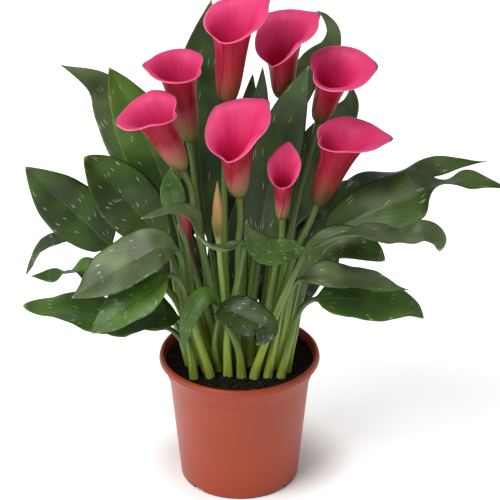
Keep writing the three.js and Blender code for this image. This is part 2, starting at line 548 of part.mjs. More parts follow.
function spadixSolid(spec, frame) {
  const low = STEM_IN_SPATHE + 0.3;
  const high = 0.3 * (spec.lip[1] + spec.side[1]);
  const rings = [];
  for (let i = 0; i <= SPADIX_STEPS; i++) {
    const k = i / SPADIX_STEPS;
    const body = 0.5 + (2 + 1.3 * smooth(0.1, 0.5, k)) * Math.sqrt(Math.max(0, 1 - Math.pow(k, 5)));
    const ring = Array.from({ length: SPADIX_SIDES }, (_, j) => {
      const bump = i === 0 || i === SPADIX_STEPS ? 0 : FLORET_RELIEF * ((i + j) % 2 ? 1 : -1);
      const angle = (2 * Math.PI * j) / SPADIX_SIDES;
      const r = body * mix(1, 0.8, k) + bump;
      const point = new THREE.Vector3(r * Math.cos(angle), r * Math.sin(angle), mix(low, high, k));
      return point.applyMatrix4(frame);
    });
    rings.push(ring);
  }
  return solidOf(skinOver(rings));
}

// The frame of a bloom: +Z runs up its axis and +X points to the side of its tip.
function bloomFrame(spec) {
  const z = V(spec.axis).normalize();
  const tip = V(spec.tip);
  const x = tip.addScaledVector(z, -tip.dot(z)).normalize();
  const y = z.clone().cross(x);
  return new THREE.Matrix4().makeBasis(x, y, z).setPosition(V(spec.base));
}

const sleeves = [];

LEAVES.forEach((spec, i) => {
  spec.solid = leafSolid(spec, 1.7 * i);
  sleeves.push(sleeveSolid(spec.foot, spec.stalk));
});
for (const name of new Set(LEAVES.map((spec) => spec.shoot ?? spec.name))) {
  const parts = LEAVES.filter((spec) => (spec.shoot ?? spec.name) === name).map((spec) => spec.solid);
  addSolid("leaf_" + name, parts.length > 1 ? wasm.Manifold.union(parts) : parts[0], LEAF);
}

for (const spec of BLOOMS) {
  const frame = bloomFrame(spec);
  const axis = V(spec.axis).normalize();
  const base = V(spec.base);
  const points = [
    ...footPoints(spec.foot),
    ...spec.path.map(V),
    base.clone().addScaledVector(axis, -26),
    base,
    base.clone().addScaledVector(axis, STEM_IN_SPATHE),
  ];
  const length = curveThrough(points).length;
  const inside = 1 - (STEM_IN_SPATHE + 1.2) / length;
  const foot = (FOOT_LEVEL - SOIL_TOP + BURIED) / length;
  const slim = SPATHE_FOOT - SPATHE_THICKNESS / 2 - 0.55;
  const radii = [[0, STEM_FOOT], [foot, STEM_FOOT], [0.6, STEM_RADIUS], [inside - 0.05, STEM_RADIUS],
    [inside - 0.004, STEM_RADIUS + 0.7], [inside, slim], [1, slim]];
  const steps = [0, ...[0, 0.2, 0.4, 0.6, 0.8].map((k) => mix(foot, inside - 0.05, k)), inside - 0.05,
    inside - 0.004, inside, 1];
  addSolid("bloom_" + spec.name + "_stem", rodSolid(points, radii, 6, steps), STEM);
  addSolid("bloom_" + spec.name + "_spathe", spatheSolid(spec, frame), SPATHE);
  addSolid("bloom_" + spec.name + "_spadix", spadixSolid(spec, frame), SPADIX);
  sleeves.push(sleeveSolid(spec.foot, STEM_FOOT));
}

for (const [name, bud, look] of [["green", GREEN_BUD, GREEN_SKIN], ["pink", PINK_BUD, PINK_SKIN]]) {
  const points = [...footPoints(bud.foot), ...bud.path.map(V), V(bud.tip)];
  const curve = curveThrough(points);
  const foot = curve.lengthTo(1) / curve.length;
  const neck = curve.lengthTo(points.length - 2) / curve.length;
  const at = (k) => mix(neck, 1, k);
  const radii = [[0, BUD_STALK], [foot, BUD_STALK], [neck, BUD_NECK], [at(0.3), bud.radius],
    [at(0.6), bud.radius * 0.85], [at(0.85), 2.2], [1, BUD_TIP]];
  const steps = [0, ...[0, 0.33, 0.66, 1].map((k) => mix(foot, neck, k)),
    ...[0.12, 0.3, 0.45, 0.6, 0.75, 0.88, 1].map(at)];
  addSolid("bud_" + name, rodSolid(points, radii, 6, steps), look);
  sleeves.push(sleeveSolid(bud.foot, BUD_STALK));
}

// The pot's wall, outside then inside, as radius and height. The mouth has a rolled rim.
const SHOULDER = POT_HEIGHT - COLLAR_DEPTH;
const potOutside = [
  [0, 0], [FOOT_RADIUS - 1.5, 0], [FOOT_RADIUS, 2], [SHOULDER_RADIUS, SHOULDER],
  [COLLAR_RADIUS - 0.8, SHOULDER + 1], [COLLAR_RADIUS + 2, POT_HEIGHT - 9.5],
  [RIM_RADIUS - 2.3, POT_HEIGHT - 9.3], [RIM_RADIUS, POT_HEIGHT - 6], [RIM_RADIUS - 1, POT_HEIGHT - 1.6],
  [RIM_RADIUS - 3.2, POT_HEIGHT],
];
const potInside = [
  [MOUTH_RADIUS + 0.4, POT_HEIGHT], [MOUTH_RADIUS - 2.2, POT_HEIGHT - 9],
  [COLLAR_RADIUS - WALL - 0.8, SHOULDER + 2], [SHOULDER_RADIUS - WALL, SHOULDER],
  [FOOT_RADIUS - WALL, FLOOR], [0, FLOOR],
];
const potPoints = [...potOutside, ...potInside].map((p) => new THREE.Vector2(p[0], p[1]));
const potBody = solidOf(new THREE.LatheGeometry(potPoints, POT_SIDES).rotateX(Math.PI / 2));
const NOTCH_WIDTH = 14;
const NOTCH_HEIGHT = 3.5;
const NOTCH_DEPTH = 14;
const notches = [45, 135, 225, 315].map((degrees) => {
  const block = new THREE.BoxGeometry(NOTCH_DEPTH, NOTCH_WIDTH, 2 * NOTCH_HEIGHT);
  return solidOf(block.translate(FOOT_RADIUS, 0, 0).rotateZ((degrees * Math.PI) / 180));
});
addSolid("pot", potBody.subtract(wasm.Manifold.union(notches)), TERRACOTTA);

// The radius of the pot's inside at a height.
function innerRadius(z) {
  const inside = [...potInside].reverse();
  const i = Math.max(1, inside.findIndex((p) => p[1] > z));
  const low = inside[i - 1];
  const high = inside[i];
  return mix(low[0], high[0], (z - low[1]) / (high[1] - low[1]));
}

// Peat fills the pot. Its top is uneven, by a sum of waves that fades towards the wall.
const reliefAt = (x, y) =>
  SOIL_RELIEF * (Math.sin(0.11 * x + 0.07 * y) + 0.7 * Math.sin(0.05 * x - 0.17 * y + 1) - 0.4);
function tuberGeometry(spec, grow) {
  const geometry = new THREE.SphereGeometry(1, 10, 6);
  geometry.rotateX(Math.PI / 2);
  const p = geometry.attributes.position;
  for (let i = 0; i < p.count; i++) {
    const angle = Math.atan2(p.getY(i), p.getX(i));
    const level = Math.sqrt(Math.max(0, 1 - p.getZ(i) * p.getZ(i)));
    const lump = 1 + level * (0.05 * Math.sin(3 * angle + spec.radius) + 0.03 * Math.sin(5 * angle));
    const flat = Math.min(p.getZ(i) * 1.25, 1);
    p.setXYZ(
      i,
      spec.centre[0] + p.getX(i) * lump * (spec.radius + grow),
      spec.centre[1] + p.getY(i) * lump * (spec.radius + grow),
      TUBER_TOP - TUBER_HEIGHT / 2 + flat * (TUBER_HEIGHT / 2 + grow),
    );
  }
  return geometry;
}
for (const spec of TUBERS) addSolid("tuber_" + spec.name, solidOf(tuberGeometry(spec, 0)), TUBER_SKIN);

const soilLevels = [FLOOR + SEAT_GAP, SHOULDER, SHOULDER + 2, SOIL_TOP - 1.5];
const soilRings = soilLevels.map((z) => [innerRadius(z) - SEAT_GAP, z]);
const CROWN_SHARE = 0.6;
const soilPositions = [0, 0, soilLevels[0]];
for (const [r, z] of soilRings) {
  for (let j = 0; j < POT_SIDES; j++) {
    const angle = (2 * Math.PI * j) / POT_SIDES;
    soilPositions.push(r * Math.cos(angle), r * Math.sin(angle), z);
  }
}
const soilRadius = soilRings[soilRings.length - 1][0];
for (let j = 0; j < POT_SIDES; j++) {
  const angle = (2 * Math.PI * j) / POT_SIDES;
  const x = soilRadius * CROWN_SHARE * Math.cos(angle);
  const y = soilRadius * CROWN_SHARE * Math.sin(angle);
  soilPositions.push(x, y, SOIL_TOP + reliefAt(x, y));
}
soilPositions.push(0, 0, SOIL_TOP + reliefAt(0, 0));
const soilIndex = [];
const soilCount = soilRings.length + 1;
for (let j = 0; j < POT_SIDES; j++) {
  const next = (j + 1) % POT_SIDES;
  soilIndex.push(0, 1 + next, 1 + j);
  for (let i = 0; i + 1 < soilCount; i++) {
    const a = 1 + i * POT_SIDES + j;
    const b = 1 + i * POT_SIDES + next;
    soilIndex.push(a, b, b + POT_SIDES, a, b + POT_SIDES, a + POT_SIDES);
  }
  const last = 1 + (soilCount - 1) * POT_SIDES;
  soilIndex.push(last + j, last + next, 1 + soilCount * POT_SIDES);
}
const soilGeometry = new THREE.BufferGeometry();
soilGeometry.setAttribute("position", new THREE.Float32BufferAttribute(soilPositions, 3));
soilGeometry.setIndex(soilIndex);
const hollows = TUBERS.map((spec) => solidOf(tuberGeometry(spec, SEAT_GAP)));
addSolid("peat", solidOf(soilGeometry).subtract(wasm.Manifold.union([...sleeves, ...hollows])), PEAT);

export default root;
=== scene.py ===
"""The looks of a potted calla lily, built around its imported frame.

Tables are in millimetres and meshes in metres. +Z is up, and -Y is the front.
"""

import math
import random

import bmesh
import bpy
from mathutils import Matrix, Vector, noise


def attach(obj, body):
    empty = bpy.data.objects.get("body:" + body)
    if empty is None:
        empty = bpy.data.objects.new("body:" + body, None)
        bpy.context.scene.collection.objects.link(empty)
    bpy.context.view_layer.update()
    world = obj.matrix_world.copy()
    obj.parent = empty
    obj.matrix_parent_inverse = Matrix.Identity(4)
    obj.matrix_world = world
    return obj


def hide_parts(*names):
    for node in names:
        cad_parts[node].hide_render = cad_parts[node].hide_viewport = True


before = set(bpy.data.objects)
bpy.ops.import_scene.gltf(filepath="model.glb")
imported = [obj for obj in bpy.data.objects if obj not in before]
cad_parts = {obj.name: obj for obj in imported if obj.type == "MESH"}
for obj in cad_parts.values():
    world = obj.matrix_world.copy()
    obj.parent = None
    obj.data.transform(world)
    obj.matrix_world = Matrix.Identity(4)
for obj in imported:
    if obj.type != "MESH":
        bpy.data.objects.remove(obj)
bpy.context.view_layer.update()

MM = 0.001

# Camera, fitted to the photograph's view, and the studio in metres
CAMERA_DISTANCE = 3500
CAMERA_ELEVATION = 28.73
CAMERA_AIM = (11.1, 0, 267.9)
CAMERA_LENS = 242.4
CAMERA_SENSOR = 36
LAMPS = [
    dict(name="key", place=(-1.8, -1.5, 3.2), aim=(0, 0, 0.3), power=128, size=2.4),
    dict(name="fill", place=(-2.6, -1.4, 0.8), aim=(0, 0, 0.25), power=14, size=0.9),
]
WORLD_LIGHT = 0.52
STAGE_SIZE = 8
STAGE_SHADE = 0.97
# The floor's painted glow, and the distances from the pot over which it fades in
STAGE_GLOW = 0.44
GLOW_FROM, GLOW_TO = 0.064, 0.14

# Pot
POT_HEIGHT = 146
RIM_RADIUS = 85
MOUTH_RADIUS = 80
COLLAR_RADIUS = 77.5
COLLAR_DEPTH = 24
SHOULDER_RADIUS = 74.5
FOOT_RADIUS = 62.5
WALL = 1.8
FLOOR = 3
NOTCH_ANGLES = (45, 135, 225, 315)
NOTCH_WIDTH = 14
NOTCH_HEIGHT = 3.5
NOTCH_REACH = 14
NOTCH_BELOW = 5
POT_STEPS = 144
POT_SAME_SPOT = 1e-6
POT_EDGE = 0.7
POT_EDGE_ANGLE = 22

# Peat and its crumbs. Clods and grain are pairs of height and how closely they are set
SOIL_TOP = 137
SOIL_RELIEF = 1.3
SEAT_GAP = 0.4
PEAT_SEGMENTS = 170
PEAT_RADIUS = 78.2
PEAT_LEVEL = 0.6
PEAT_EDGE = 0.8
CLODS = [(1.1, 0.09), (0.9, 0.23)]
GRAIN = (0.9, 0.5)
FINE_GRAIN = (0.5, 1.1)
CRUMB_BATCHES = 36
CRUMBS_IN_BATCH = 50
CRUMBS_AT_FOOT = 18
CRUMB_REACH = 76.5
CRUMB_RING = (4.6, 8)
CRUMB_SIZE = (0.7, 1.5)
CRUMB_LIFT = 0.3
CRUMB_UNEVEN = (0.65, 1.25)
COMMON_CRUMBS = 0.85
LARGE_CRUMB = 1.7

# Tubers
TUBERS = {"tuber_left": (-31, -2), "tuber_right": (31, -2)}
TUBER_RADIUS = 29
TUBER_HEIGHT = 27
TUBER_FLATNESS = 1.25
TUBER_WIDE, TUBER_HIGH = 0.985, 0.98
LOBE_DEPTH, SMALL_LOBE_DEPTH = 0.05, 0.03
LOBE_TURN = 29
TUBER_ROUGH = 0.5
TUBER_GRAIN = 6

# Feet in the peat
BURIED = 22
FOOT_LEVEL = 140
TUBER_TOP = SOIL_TOP - BURIED - 0.3

# Leaves. A midrib stands out by a share of its stalk's radius and fades with a power
BLADE_THICKNESS = 0.8
TIP_POWER = {"acute": 1.3, "plain": 1, "blunt": 0.75}
BASE_POWER = 0.8
BLADE_FOLD = 0.16
FOLD_ROUND = 0.003
FOLD_START = 0.05
BLADE_SAG = 0.06
MARGIN_WAVES = 2
SMALL_WAVES = 7
SMALL_WAVE, SMALL_WAVE_GAIN = 0.15, 0.07
SMALL_WAVE_TURN = 2.3
MIDRIB_WIDTH = 0.9
MIDRIB_NARROWEST = 0.12
MIDRIB_BELOW = (1.2, 2.5)
MIDRIB_ABOVE = (0.25, 3)
CHANNEL_DEPTH, CHANNEL_WIDTH = 0.2, 0.5
FLUTES, FLUTE_DEPTH = 9, 0.035
STALK_FLARE, FLARE_REACH = 0.2, 22
STALK_SLIMMING = 0.6
BLADE_STARTS = 0.1
BASE_SPACING = 0.9
UNEVEN_WIDTH, UNEVEN_SCALE = 0.05, 5
LEAF_AROUND = 44
STALK_ROWS = 26
BLADE_ROWS = 78
PHASE_STEP = 1.7

# Spathes
SPATHE_THICKNESS = 0.8
SPATHE_FOOT = 4.2
SPATHE_SWELL = 12
SPATHE_AROUND = 104
SPATHE_ROWS = 56
SPATHE_SPACING = 0.95
SEAM_GAP = 0.02
MARGIN_CROSSING = 0.5
MARGIN_STEP = 0.5
MARGIN_DROP = 0.12
BACK_POWER = 1.2
LIP_POWER = 2.3
LIP_FALL = 1.35
TAIL_WIDTH = 0.26
TAIL_LIFT = 0.2
NECK_RISE, NECK_TAIL = 0.99, 2
TUBE_BULGE = 1.45
TUBE_NECK = 0.62
NECK_PINCH, PINCH_POWER = 1.5, 1.8
SPATHE_RIB_HEIGHT, SPATHE_RIBS = 0.16, 14
RIM_WAVE, RIM_WAVES, RIM_NOD = 0.9, 3.1, 0.6
ROUNDED_END, ROUNDED_MARGIN = 60, 40
SMALL_STEP = 1e-3

# Spadices
SPADIX_AROUND = 30
SPADIX_ROWS = 70
SPADIX_RINGS = 22
SPADIX_COLUMNS = 10
SPADIX_CLEARANCE = 0.3
SPADIX_REACH = 0.3
SPADIX_FOOT, SPADIX_BODY, SPADIX_SWELL = 0.5, 2, 1.3
SPADIX_TIP = 0.8
FLORET_ROOT, FLORET_HEIGHT = 0.25, 0.45

# Stems and buds
STEM_RADIUS = 3.4
STEM_FOOT = 4.4
STEM_IN_SPATHE = 7
STEM_UNDER_SPATHE = 26
STEM_COLLAR = 0.7
STEM_COLLAR_REACH = 1.2
STEM_GAP = 0.55
ROD_AROUND = 18
ROD_ROWS = 90
ROD_RIDGES, RIDGE_HEIGHT = 5, 0.03
BUD_STALK = 4
BUD_NECK = 2.8
BUD_SWELL = [(0.12, 0.72), (0.3, 1), (0.45, 0.97), (0.6, 0.85), (0.75, 0.6)]
BUD_NOSE = [(0.88, 1.8), (1, 0.4)]
BUD_TURNS = 1.5
BUD_STEP = 0.16
GREEN_BUD = dict(foot=(-11, -26), path=[(-15, -34, 220), (-21, -40, 299)], tip=(-22, -42, 371), radius=6)
PINK_BUD = dict(foot=(-20, 1), path=[(-38, 0, 210), (-54, -2, 278)], tip=(-58, -4, 337), radius=7.5)


def leaf(shoot, foot, width, face, path, stalk=5, blade_from=3, wave=1, tip="plain"):
    """A row of the table of leaves, in which those of one shoot are one piece.

    A leaf is a round stalk that rises from its foot and turns into a blade at point blade_from of its path.
    face holds the ways its upper side looks, from the blade's base to its tip, and wave is how far its
    margins wave.
    """
    return dict(shoot=shoot, foot=foot, width=width, face=face, path=path, stalk=stalk,
                blade_from=blade_from, wave=wave, tip=tip)


LEAVES = [
    leaf("left_long", (-47, 4), 60, [(-0.1, -0.8, 0.6)], [(-67, 6, 205), (-102, 8, 240), (-131, 6, 265),
         (-159, 0, 301), (-189, -6, 335), (-219, -12, 372)]),
    leaf("left_broad", (-41, -12), 64, [(0, -0.85, 0.5), (0.1, -0.85, 0.5), (0.5, -0.6, 0.6)],
         [(-56, -10, 190), (-62, -10, 238), (-74, -12, 277), (-100, -16, 316), (-129, -22, 355),
         (-158, -22, 388)], tip="blunt"),
    leaf("left_high", (-39, 14), 56, [(-0.2, -0.75, 0.6), (-0.1, -0.7, 0.7)], [(-61, 20, 185),
         (-71, 26, 254), (-77, 30, 305), (-103, 36, 360), (-126, 40, 408), (-145, 42, 439),
         (-185, 40, 463)], wave=1.5, tip="acute"),
    leaf("left_tall", (-33, 1), 58, [(0.1, -0.9, 0.4)], [(-49, 8, 204), (-60, 14, 272), (-70, 16, 312),
         (-84, 18, 358), (-104, 16, 411), (-119, 12, 445), (-132, 8, 475)]),
    leaf("left_arched", (-53, 14), 21, [(-0.3, -0.1, 0.95), (-0.5, -0.3, 0.8)], [(-84, 18, 198),
         (-125, 18, 252), (-154, 15, 272), (-185, 10, 277), (-208, 6, 266), (-223, 2, 237)], stalk=4.5),
    leaf("left_twisted", (-54, -12), 35, [(0, -0.4, 0.9), (0, -0.35, 0.93), (0, 0.5, 0.86),
         (0, -0.3, 0.95), (0, -0.45, 0.85)], [(-74, -10, 205), (-109, -16, 243), (-135, -18, 255),
         (-161, -18, 254), (-179, -20, 252), (-198, -22, 249), (-217, -24, 250)], stalk=4, tip="acute"),
    leaf("left_over", (-35, -25), 61, [(-0.1, -0.5, 0.85), (-0.2, -0.45, 0.85)], [(-51, -32, 201),
         (-57, -40, 253), (-62, -46, 290), (-81, -52, 300), (-101, -57, 292), (-128, -62, 278),
         (-155, -66, 259), (-172, -68, 249)], wave=2.5),
    leaf("left_low", (-49, -25), 62, [(0, -0.1, 1)], [(-57, -26, 168), (-71, -24, 186), (-93, -22, 194),
         (-125, -22, 198), (-156, -22, 204), (-189, -22, 210), (-226, -20, 213)], stalk=4.5, blade_from=2,
         wave=4, tip="blunt"),
    leaf("left_bright", (-31, -38), 48, [(-0.3, -0.55, 0.8), (-0.2, -0.6, 0.75)], [(-44, -50, 196),
         (-56, -54, 249), (-71, -58, 271), (-89, -66, 259), (-114, -74, 245), (-137, -80, 228),
         (-152, -82, 215)], stalk=4.5, wave=2),
    leaf("left_front", (-48, -38), 56, [(0, -0.3, 0.95)], [(-52, -38, 172), (-62, -42, 208),
         (-82, -48, 221), (-109, -54, 219), (-134, -58, 211), (-152, -62, 209)], stalk=4.5, blade_from=2,
         wave=4),
    leaf("left_inner", (-28, -12), 26, [(0.1, -0.95, 0.3)], [(-45, -22, 196), (-53, -32, 285),
         (-63, -40, 330), (-68, -44, 361), (-69, -46, 388)], stalk=3.5, wave=0.5),
    leaf("centre_curled", (-12, -38), 30, [(0, -0.2, 0.97), (0, 0.25, 0.97), (0.3, -0.1, 0.95),
         (0, -0.15, 1), (0, -0.2, 1)], [(-12, -42, 196), (1, -46, 270), (4, -52, 305), (-15, -60, 303),
         (-34, -64, 311), (-40, -66, 330), (-48, -66, 344), (-62, -66, 351), (-78, -65, 348),
         (-100, -64, 339)], stalk=4.5, wave=2),
    leaf("centre_drooped", (-21, -25), 21, [(0.5, -0.5, 0.7), (0.2, -0.6, 0.8), (-0.6, -0.7, 0.3)],
         [(-26, -42, 178), (-21, -50, 227), (-31, -58, 247), (-44, -66, 241), (-54, -74, 221),
         (-58, -78, 192)], stalk=4, blade_from=2),
    leaf("centre_dome", (2, -38), 42, [(0, -0.5, 0.85), (0, -0.6, 0.8), (0.1, -0.8, 0.6)],
         [(-1, -44, 173), (-13, -50, 206), (-24, -58, 223), (-10, -68, 234), (8, -76, 230),
         (26, -84, 224), (24, -88, 213), (18, -90, 206)], stalk=4.5, wave=2),
    leaf("centre_saddle", (16, -38), 33, [(0, -0.5, 0.85), (0, -0.55, 0.85), (0.2, -0.6, 0.8),
         (0.5, -0.6, 0.6)], [(30, -52, 196), (44, -60, 242), (61, -68, 287), (68, -72, 307),
         (53, -77, 310), (33, -81, 310), (19, -83, 318), (11, -84, 330), (7, -84, 347)], stalk=4.5,
         blade_from=4, wave=1.5),
    leaf("back_tall", (-12, 14), 60, [(0, -1, 0.3)], [(-20, 30, 192), (-31, 46, 252), (-38, 56, 297),
         (-42, 62, 352), (-43, 64, 409), (-38, 64, 465), (-28, 62, 526)], blade_from=2),
    leaf("middle_tall", (12, -12), 54, [(0.1, -1, 0.3)], [(12, -8, 189), (19, -4, 250), (24, -2, 305),
         (34, 0, 359), (46, 2, 409), (59, 2, 450), (71, 0, 481)], blade_from=2),
    leaf("middle", (4, 14), 30, [(0.3, -0.9, 0.3)], [(4, 13, 202), (8, 13, 290), (13, 9, 366),
         (18, 4, 415), (22, 1, 450), (24, 0, 480)], stalk=4, blade_from=2, wave=0.5),
    leaf("middle", (10, 16), 34, [(-0.4, -0.9, 0.3)], [(13, 22, 196), (11, 30, 282), (9, 34, 356),
         (10, 35, 402), (12, 35, 430), (14, 35, 455)], stalk=4, blade_from=2, wave=0.5),
    leaf("right_hooked", (27, 14), 36, [(-0.3, 0.3, 0.9), (-0.5, 0.2, 0.8), (-0.3, -0.8, 0.4),
         (0.3, -0.9, 0.2)], [(32, 30, 190), (39, 41, 284), (45, 62, 352), (60, 78, 407), (75, 85, 440),
         (93, 87, 458), (97, 88, 477), (89, 89, 493), (78, 89, 501)], stalk=4.5, blade_from=2),
    leaf("right_back", (40, 14), 50, [(0.1, -0.9, 0.45)], [(47, 24, 195), (56, 40, 269), (68, 50, 323),
         (83, 54, 356), (98, 56, 381), (114, 56, 408), (116, 54, 432)], blade_from=2),
    leaf("middle_grey", (19, 1), 34, [(-0.5, -0.4, 0.8)], [(26, 14, 200), (36, 30, 286), (45, 38, 354),
         (52, 42, 389), (60, 46, 419), (68, 47, 443), (74, 46, 460)], stalk=4, blade_from=2),
    leaf("right_upper", (46, 1), 47, [(0, -0.75, 0.7), (0, -0.5, 0.85), (0, 0.2, 1), (0, -0.3, 0.95),
         (0, -0.2, 0.97)], [(59, 12, 202), (74, 24, 249), (90, 32, 276), (111, 34, 303), (148, 34, 329),
         (188, 34, 342), (222, 36, 350), (259, 38, 352)], wave=2, tip="acute"),
    leaf("right_broad", (39, -12), 62, [(0.1, -0.85, 0.6), (0.1, -0.8, 0.65), (0.05, -0.65, 0.75),
         (0, -0.55, 0.85), (0, 0.42, 0.9), (0, -0.5, 0.87), (0, -0.6, 0.8)], [(51, -14, 192),
         (63, -14, 246), (85, -12, 287), (115, -12, 308), (151, -12, 326), (175, -12, 335),
         (196, -12, 347), (213, -12, 353), (229, -12, 357), (250, -12, 354), (279, -12, 345)], wave=2,
         tip="acute"),
    leaf("right_waved", (36, -25), 40, [(0, -0.1, 1), (0, 0.2, 0.98), (0, 0.22, 0.97), (0, 0.1, 0.98),
         (0.2, -0.5, 0.85), (0.3, -0.7, 0.6)], [(47, -34, 191), (55, -44, 252), (67, -54, 296),
         (80, -58, 308), (110, -62, 319), (138, -63, 321), (167, -63, 320), (188, -64, 324),
         (202, -66, 317), (204, -68, 303)], stalk=4.5, wave=4, tip="blunt"),
    leaf("right_drooped", (50, -25), 40, [(0.1, -0.6, 0.75), (0.1, -0.65, 0.7)], [(58, -24, 183),
         (67, -27, 238), (82, -32, 276), (99, -35, 295), (118, -39, 296), (136, -43, 290),
         (150, -45, 280)], stalk=4.5, blade_from=2, wave=1.5, tip="blunt"),
    leaf("right_lower", (30, -38), 34, [(-0.1, -0.35, 0.93)], [(38, -46, 192), (47, -52, 241),
         (61, -60, 266), (85, -66, 276), (113, -68, 273), (146, -70, 267), (176, -72, 260)], stalk=4.5,
         wave=3, tip="acute"),
    leaf("right_low", (44, -38), 62, [(0, -0.3, 0.95)], [(53, -38, 182), (61, -37, 213), (76, -38, 230),
         (109, -42, 234), (137, -46, 233), (164, -48, 231), (180, -49, 225), (191, -50, 214)], stalk=4.5,
         wave=2),
    leaf("back_left", (-32, 30), 54, [(0, 0, 1)], [(-44, 44, 200), (-66, 64, 262), (-92, 86, 296),
         (-120, 106, 296), (-146, 124, 272)], stalk=4.5, blade_from=2, wave=2),
    leaf("back_left", (-27, 34), 50, [(0, 0, 1)], [(-36, 52, 205), (-46, 80, 268), (-58, 112, 300),
         (-70, 144, 296), (-80, 174, 268)], stalk=4.5, blade_from=2, wave=2),
    leaf("back_left", (-36, 32), 46, [(0.1, -0.9, 0.4)], [(-44, 48, 196), (-54, 58, 244), (-61, 68, 288),
         (-65, 76, 328), (-70, 80, 360)], blade_from=2),
    leaf("back_middle", (3, 36), 56, [(0, 0, 1)], [(6, 60, 205), (6, 92, 264), (6, 126, 294),
         (4, 160, 290), (2, 196, 262)], stalk=4.5, blade_from=2, wave=2),
    leaf("back_middle", (9, 38), 52, [(0, 0, 1)], [(16, 58, 200), (32, 88, 255), (52, 118, 280),
         (72, 146, 274), (90, 172, 244)], stalk=4.5, blade_from=2, wave=2),
    leaf("back_middle", (-3, 38), 48, [(0.1, -0.9, 0.4)], [(-9, 54, 195), (-12, 66, 246), (-13, 76, 292),
         (-13, 82, 334), (-11, 86, 372)], blade_from=2),
    leaf("back_right", (38, 28), 54, [(0, 0, 1)], [(50, 42, 200), (76, 62, 258), (106, 80, 286),
         (138, 96, 282), (166, 110, 256)], stalk=4.5, blade_from=2, wave=2),
    leaf("back_right", (34, 33), 50, [(0, 0, 1)], [(42, 54, 190), (58, 84, 230), (78, 112, 246),
         (98, 136, 236), (116, 156, 206)], stalk=4.5, blade_from=2, wave=2),
    leaf("back_right", (30, 38), 38, [(-0.1, -0.9, 0.4)], [(28, 48, 196), (24, 56, 248), (21, 61, 298),
         (20, 64, 340), (22, 66, 376)], blade_from=2),
    leaf("back_left", (-40, 27), 56, [(-0.1, -0.9, 0.4)], [(-47, 36, 170), (-56, 44, 205), (-66, 48, 240),
         (-80, 50, 268), (-98, 50, 285)], stalk=4.5, blade_from=1, wave=2),
    leaf("back_middle", (3, 30), 48, [(0, -1, 0.3)], [(4, 34, 165), (5, 40, 205), (5, 44, 245),
         (5, 48, 285), (5, 52, 318)], stalk=4.5, blade_from=1, wave=2),
    leaf("back_right", (24, 34), 42, [(0, -1, 0.3)], [(29, 38, 165), (37, 47, 205), (43, 55, 240),
         (48, 62, 268), (53, 70, 292)], stalk=4.5, blade_from=1, wave=2),
    leaf("back_right", (43, 26), 56, [(0.1, -0.9, 0.4)], [(52, 34, 175), (62, 42, 212), (74, 46, 245),
         (88, 48, 268), (104, 48, 282)], stalk=4.5, blade_from=1, wave=2),
    leaf("back_middle", (-8, 33), 35, [(0, -1, 0.3)], [(-11, 39, 160), (-14, 49, 190), (-16, 58, 222),
         (-19, 66, 256), (-21, 72, 290)], stalk=4.5, blade_from=1, wave=2),
]

BLOOMS = [
    dict(name="top_left", foot=(-7, 1), path=[(-14, 4, 230), (-15, 4, 340)],
         base=(-12, 6, 435), axis=(0.07, -0.05, 1), tip=(0.85, 0.5, 0),
         lip=(23, 80), side=(36, 98), back=(34, 112), tube=14, tail=6),
    dict(name="top_right", foot=(6, 1), path=[(14, 5, 230), (28, 18, 340)],
         base=(45, 28, 430), axis=(0, -0.05, 1), tip=(0.9, 0.45, 0),
         lip=(20, 45), side=(38, 80), back=(35, 87), tube=13, tail=6),
    dict(name="right_upper", foot=(32, 1), path=[(42, 6, 220), (60, 16, 318)],
         base=(82, 26, 404), axis=(0.22, -0.3, 1), tip=(1, 0.1, 0),
         lip=(25, 68), side=(34, 75), back=(38, 83), tube=12, tail=5),
    dict(name="left_upper", foot=(-25, 14), path=[(-34, 18, 220), (-43, 22, 308)],
         base=(-51, 22, 384), axis=(-0.12, -0.1, 1), tip=(-1, 0.1, 0),
         lip=(27, 88), side=(34, 91), back=(32, 93), tube=13, tail=5),
    dict(name="left", foot=(-15, -12), path=[(-26, -14, 220), (-43, -24, 306)],
         base=(-58, -30, 377), axis=(-0.4, -0.08, 1), tip=(-1, 0, 0),
         lip=(23, 68), side=(36, 80), back=(38, 77), tube=12.5, tail=4),
    dict(name="front", foot=(-1, -25), path=[(-2, -28, 210), (-1, -30, 285)],
         base=(0, -30, 347), axis=(-0.04, -0.1, 1), tip=(0.82, 0.57, 0),
         lip=(21, 54), side=(39, 88), back=(35, 99), tube=13, tail=6),
    dict(name="right", foot=(26, -12), path=[(38, -14, 200), (58, -18, 275)],
         base=(80, -18, 332), axis=(0.35, -0.05, 1), tip=(1, 0, 0),
         lip=(29, 73), side=(37, 87), back=(39, 96), tube=13.5, tail=8),
    dict(name="small", foot=(22, -25), path=[(28, -28, 200), (38, -32, 270)],
         base=(44, -34, 324), axis=(0.03, -0.15, 1), tip=(0.25, 1, 0),
         lip=(9, 44), side=(17, 68), back=(14, 83), tube=7.5, tail=4),
]


# Shared shapes


def mix(a, b, share):
    return a + (b - a) * share


def smooth(low, high, x):
    share = min(1, max(0, (x - low) / (high - low)))
    return share * share * (3 - 2 * share)


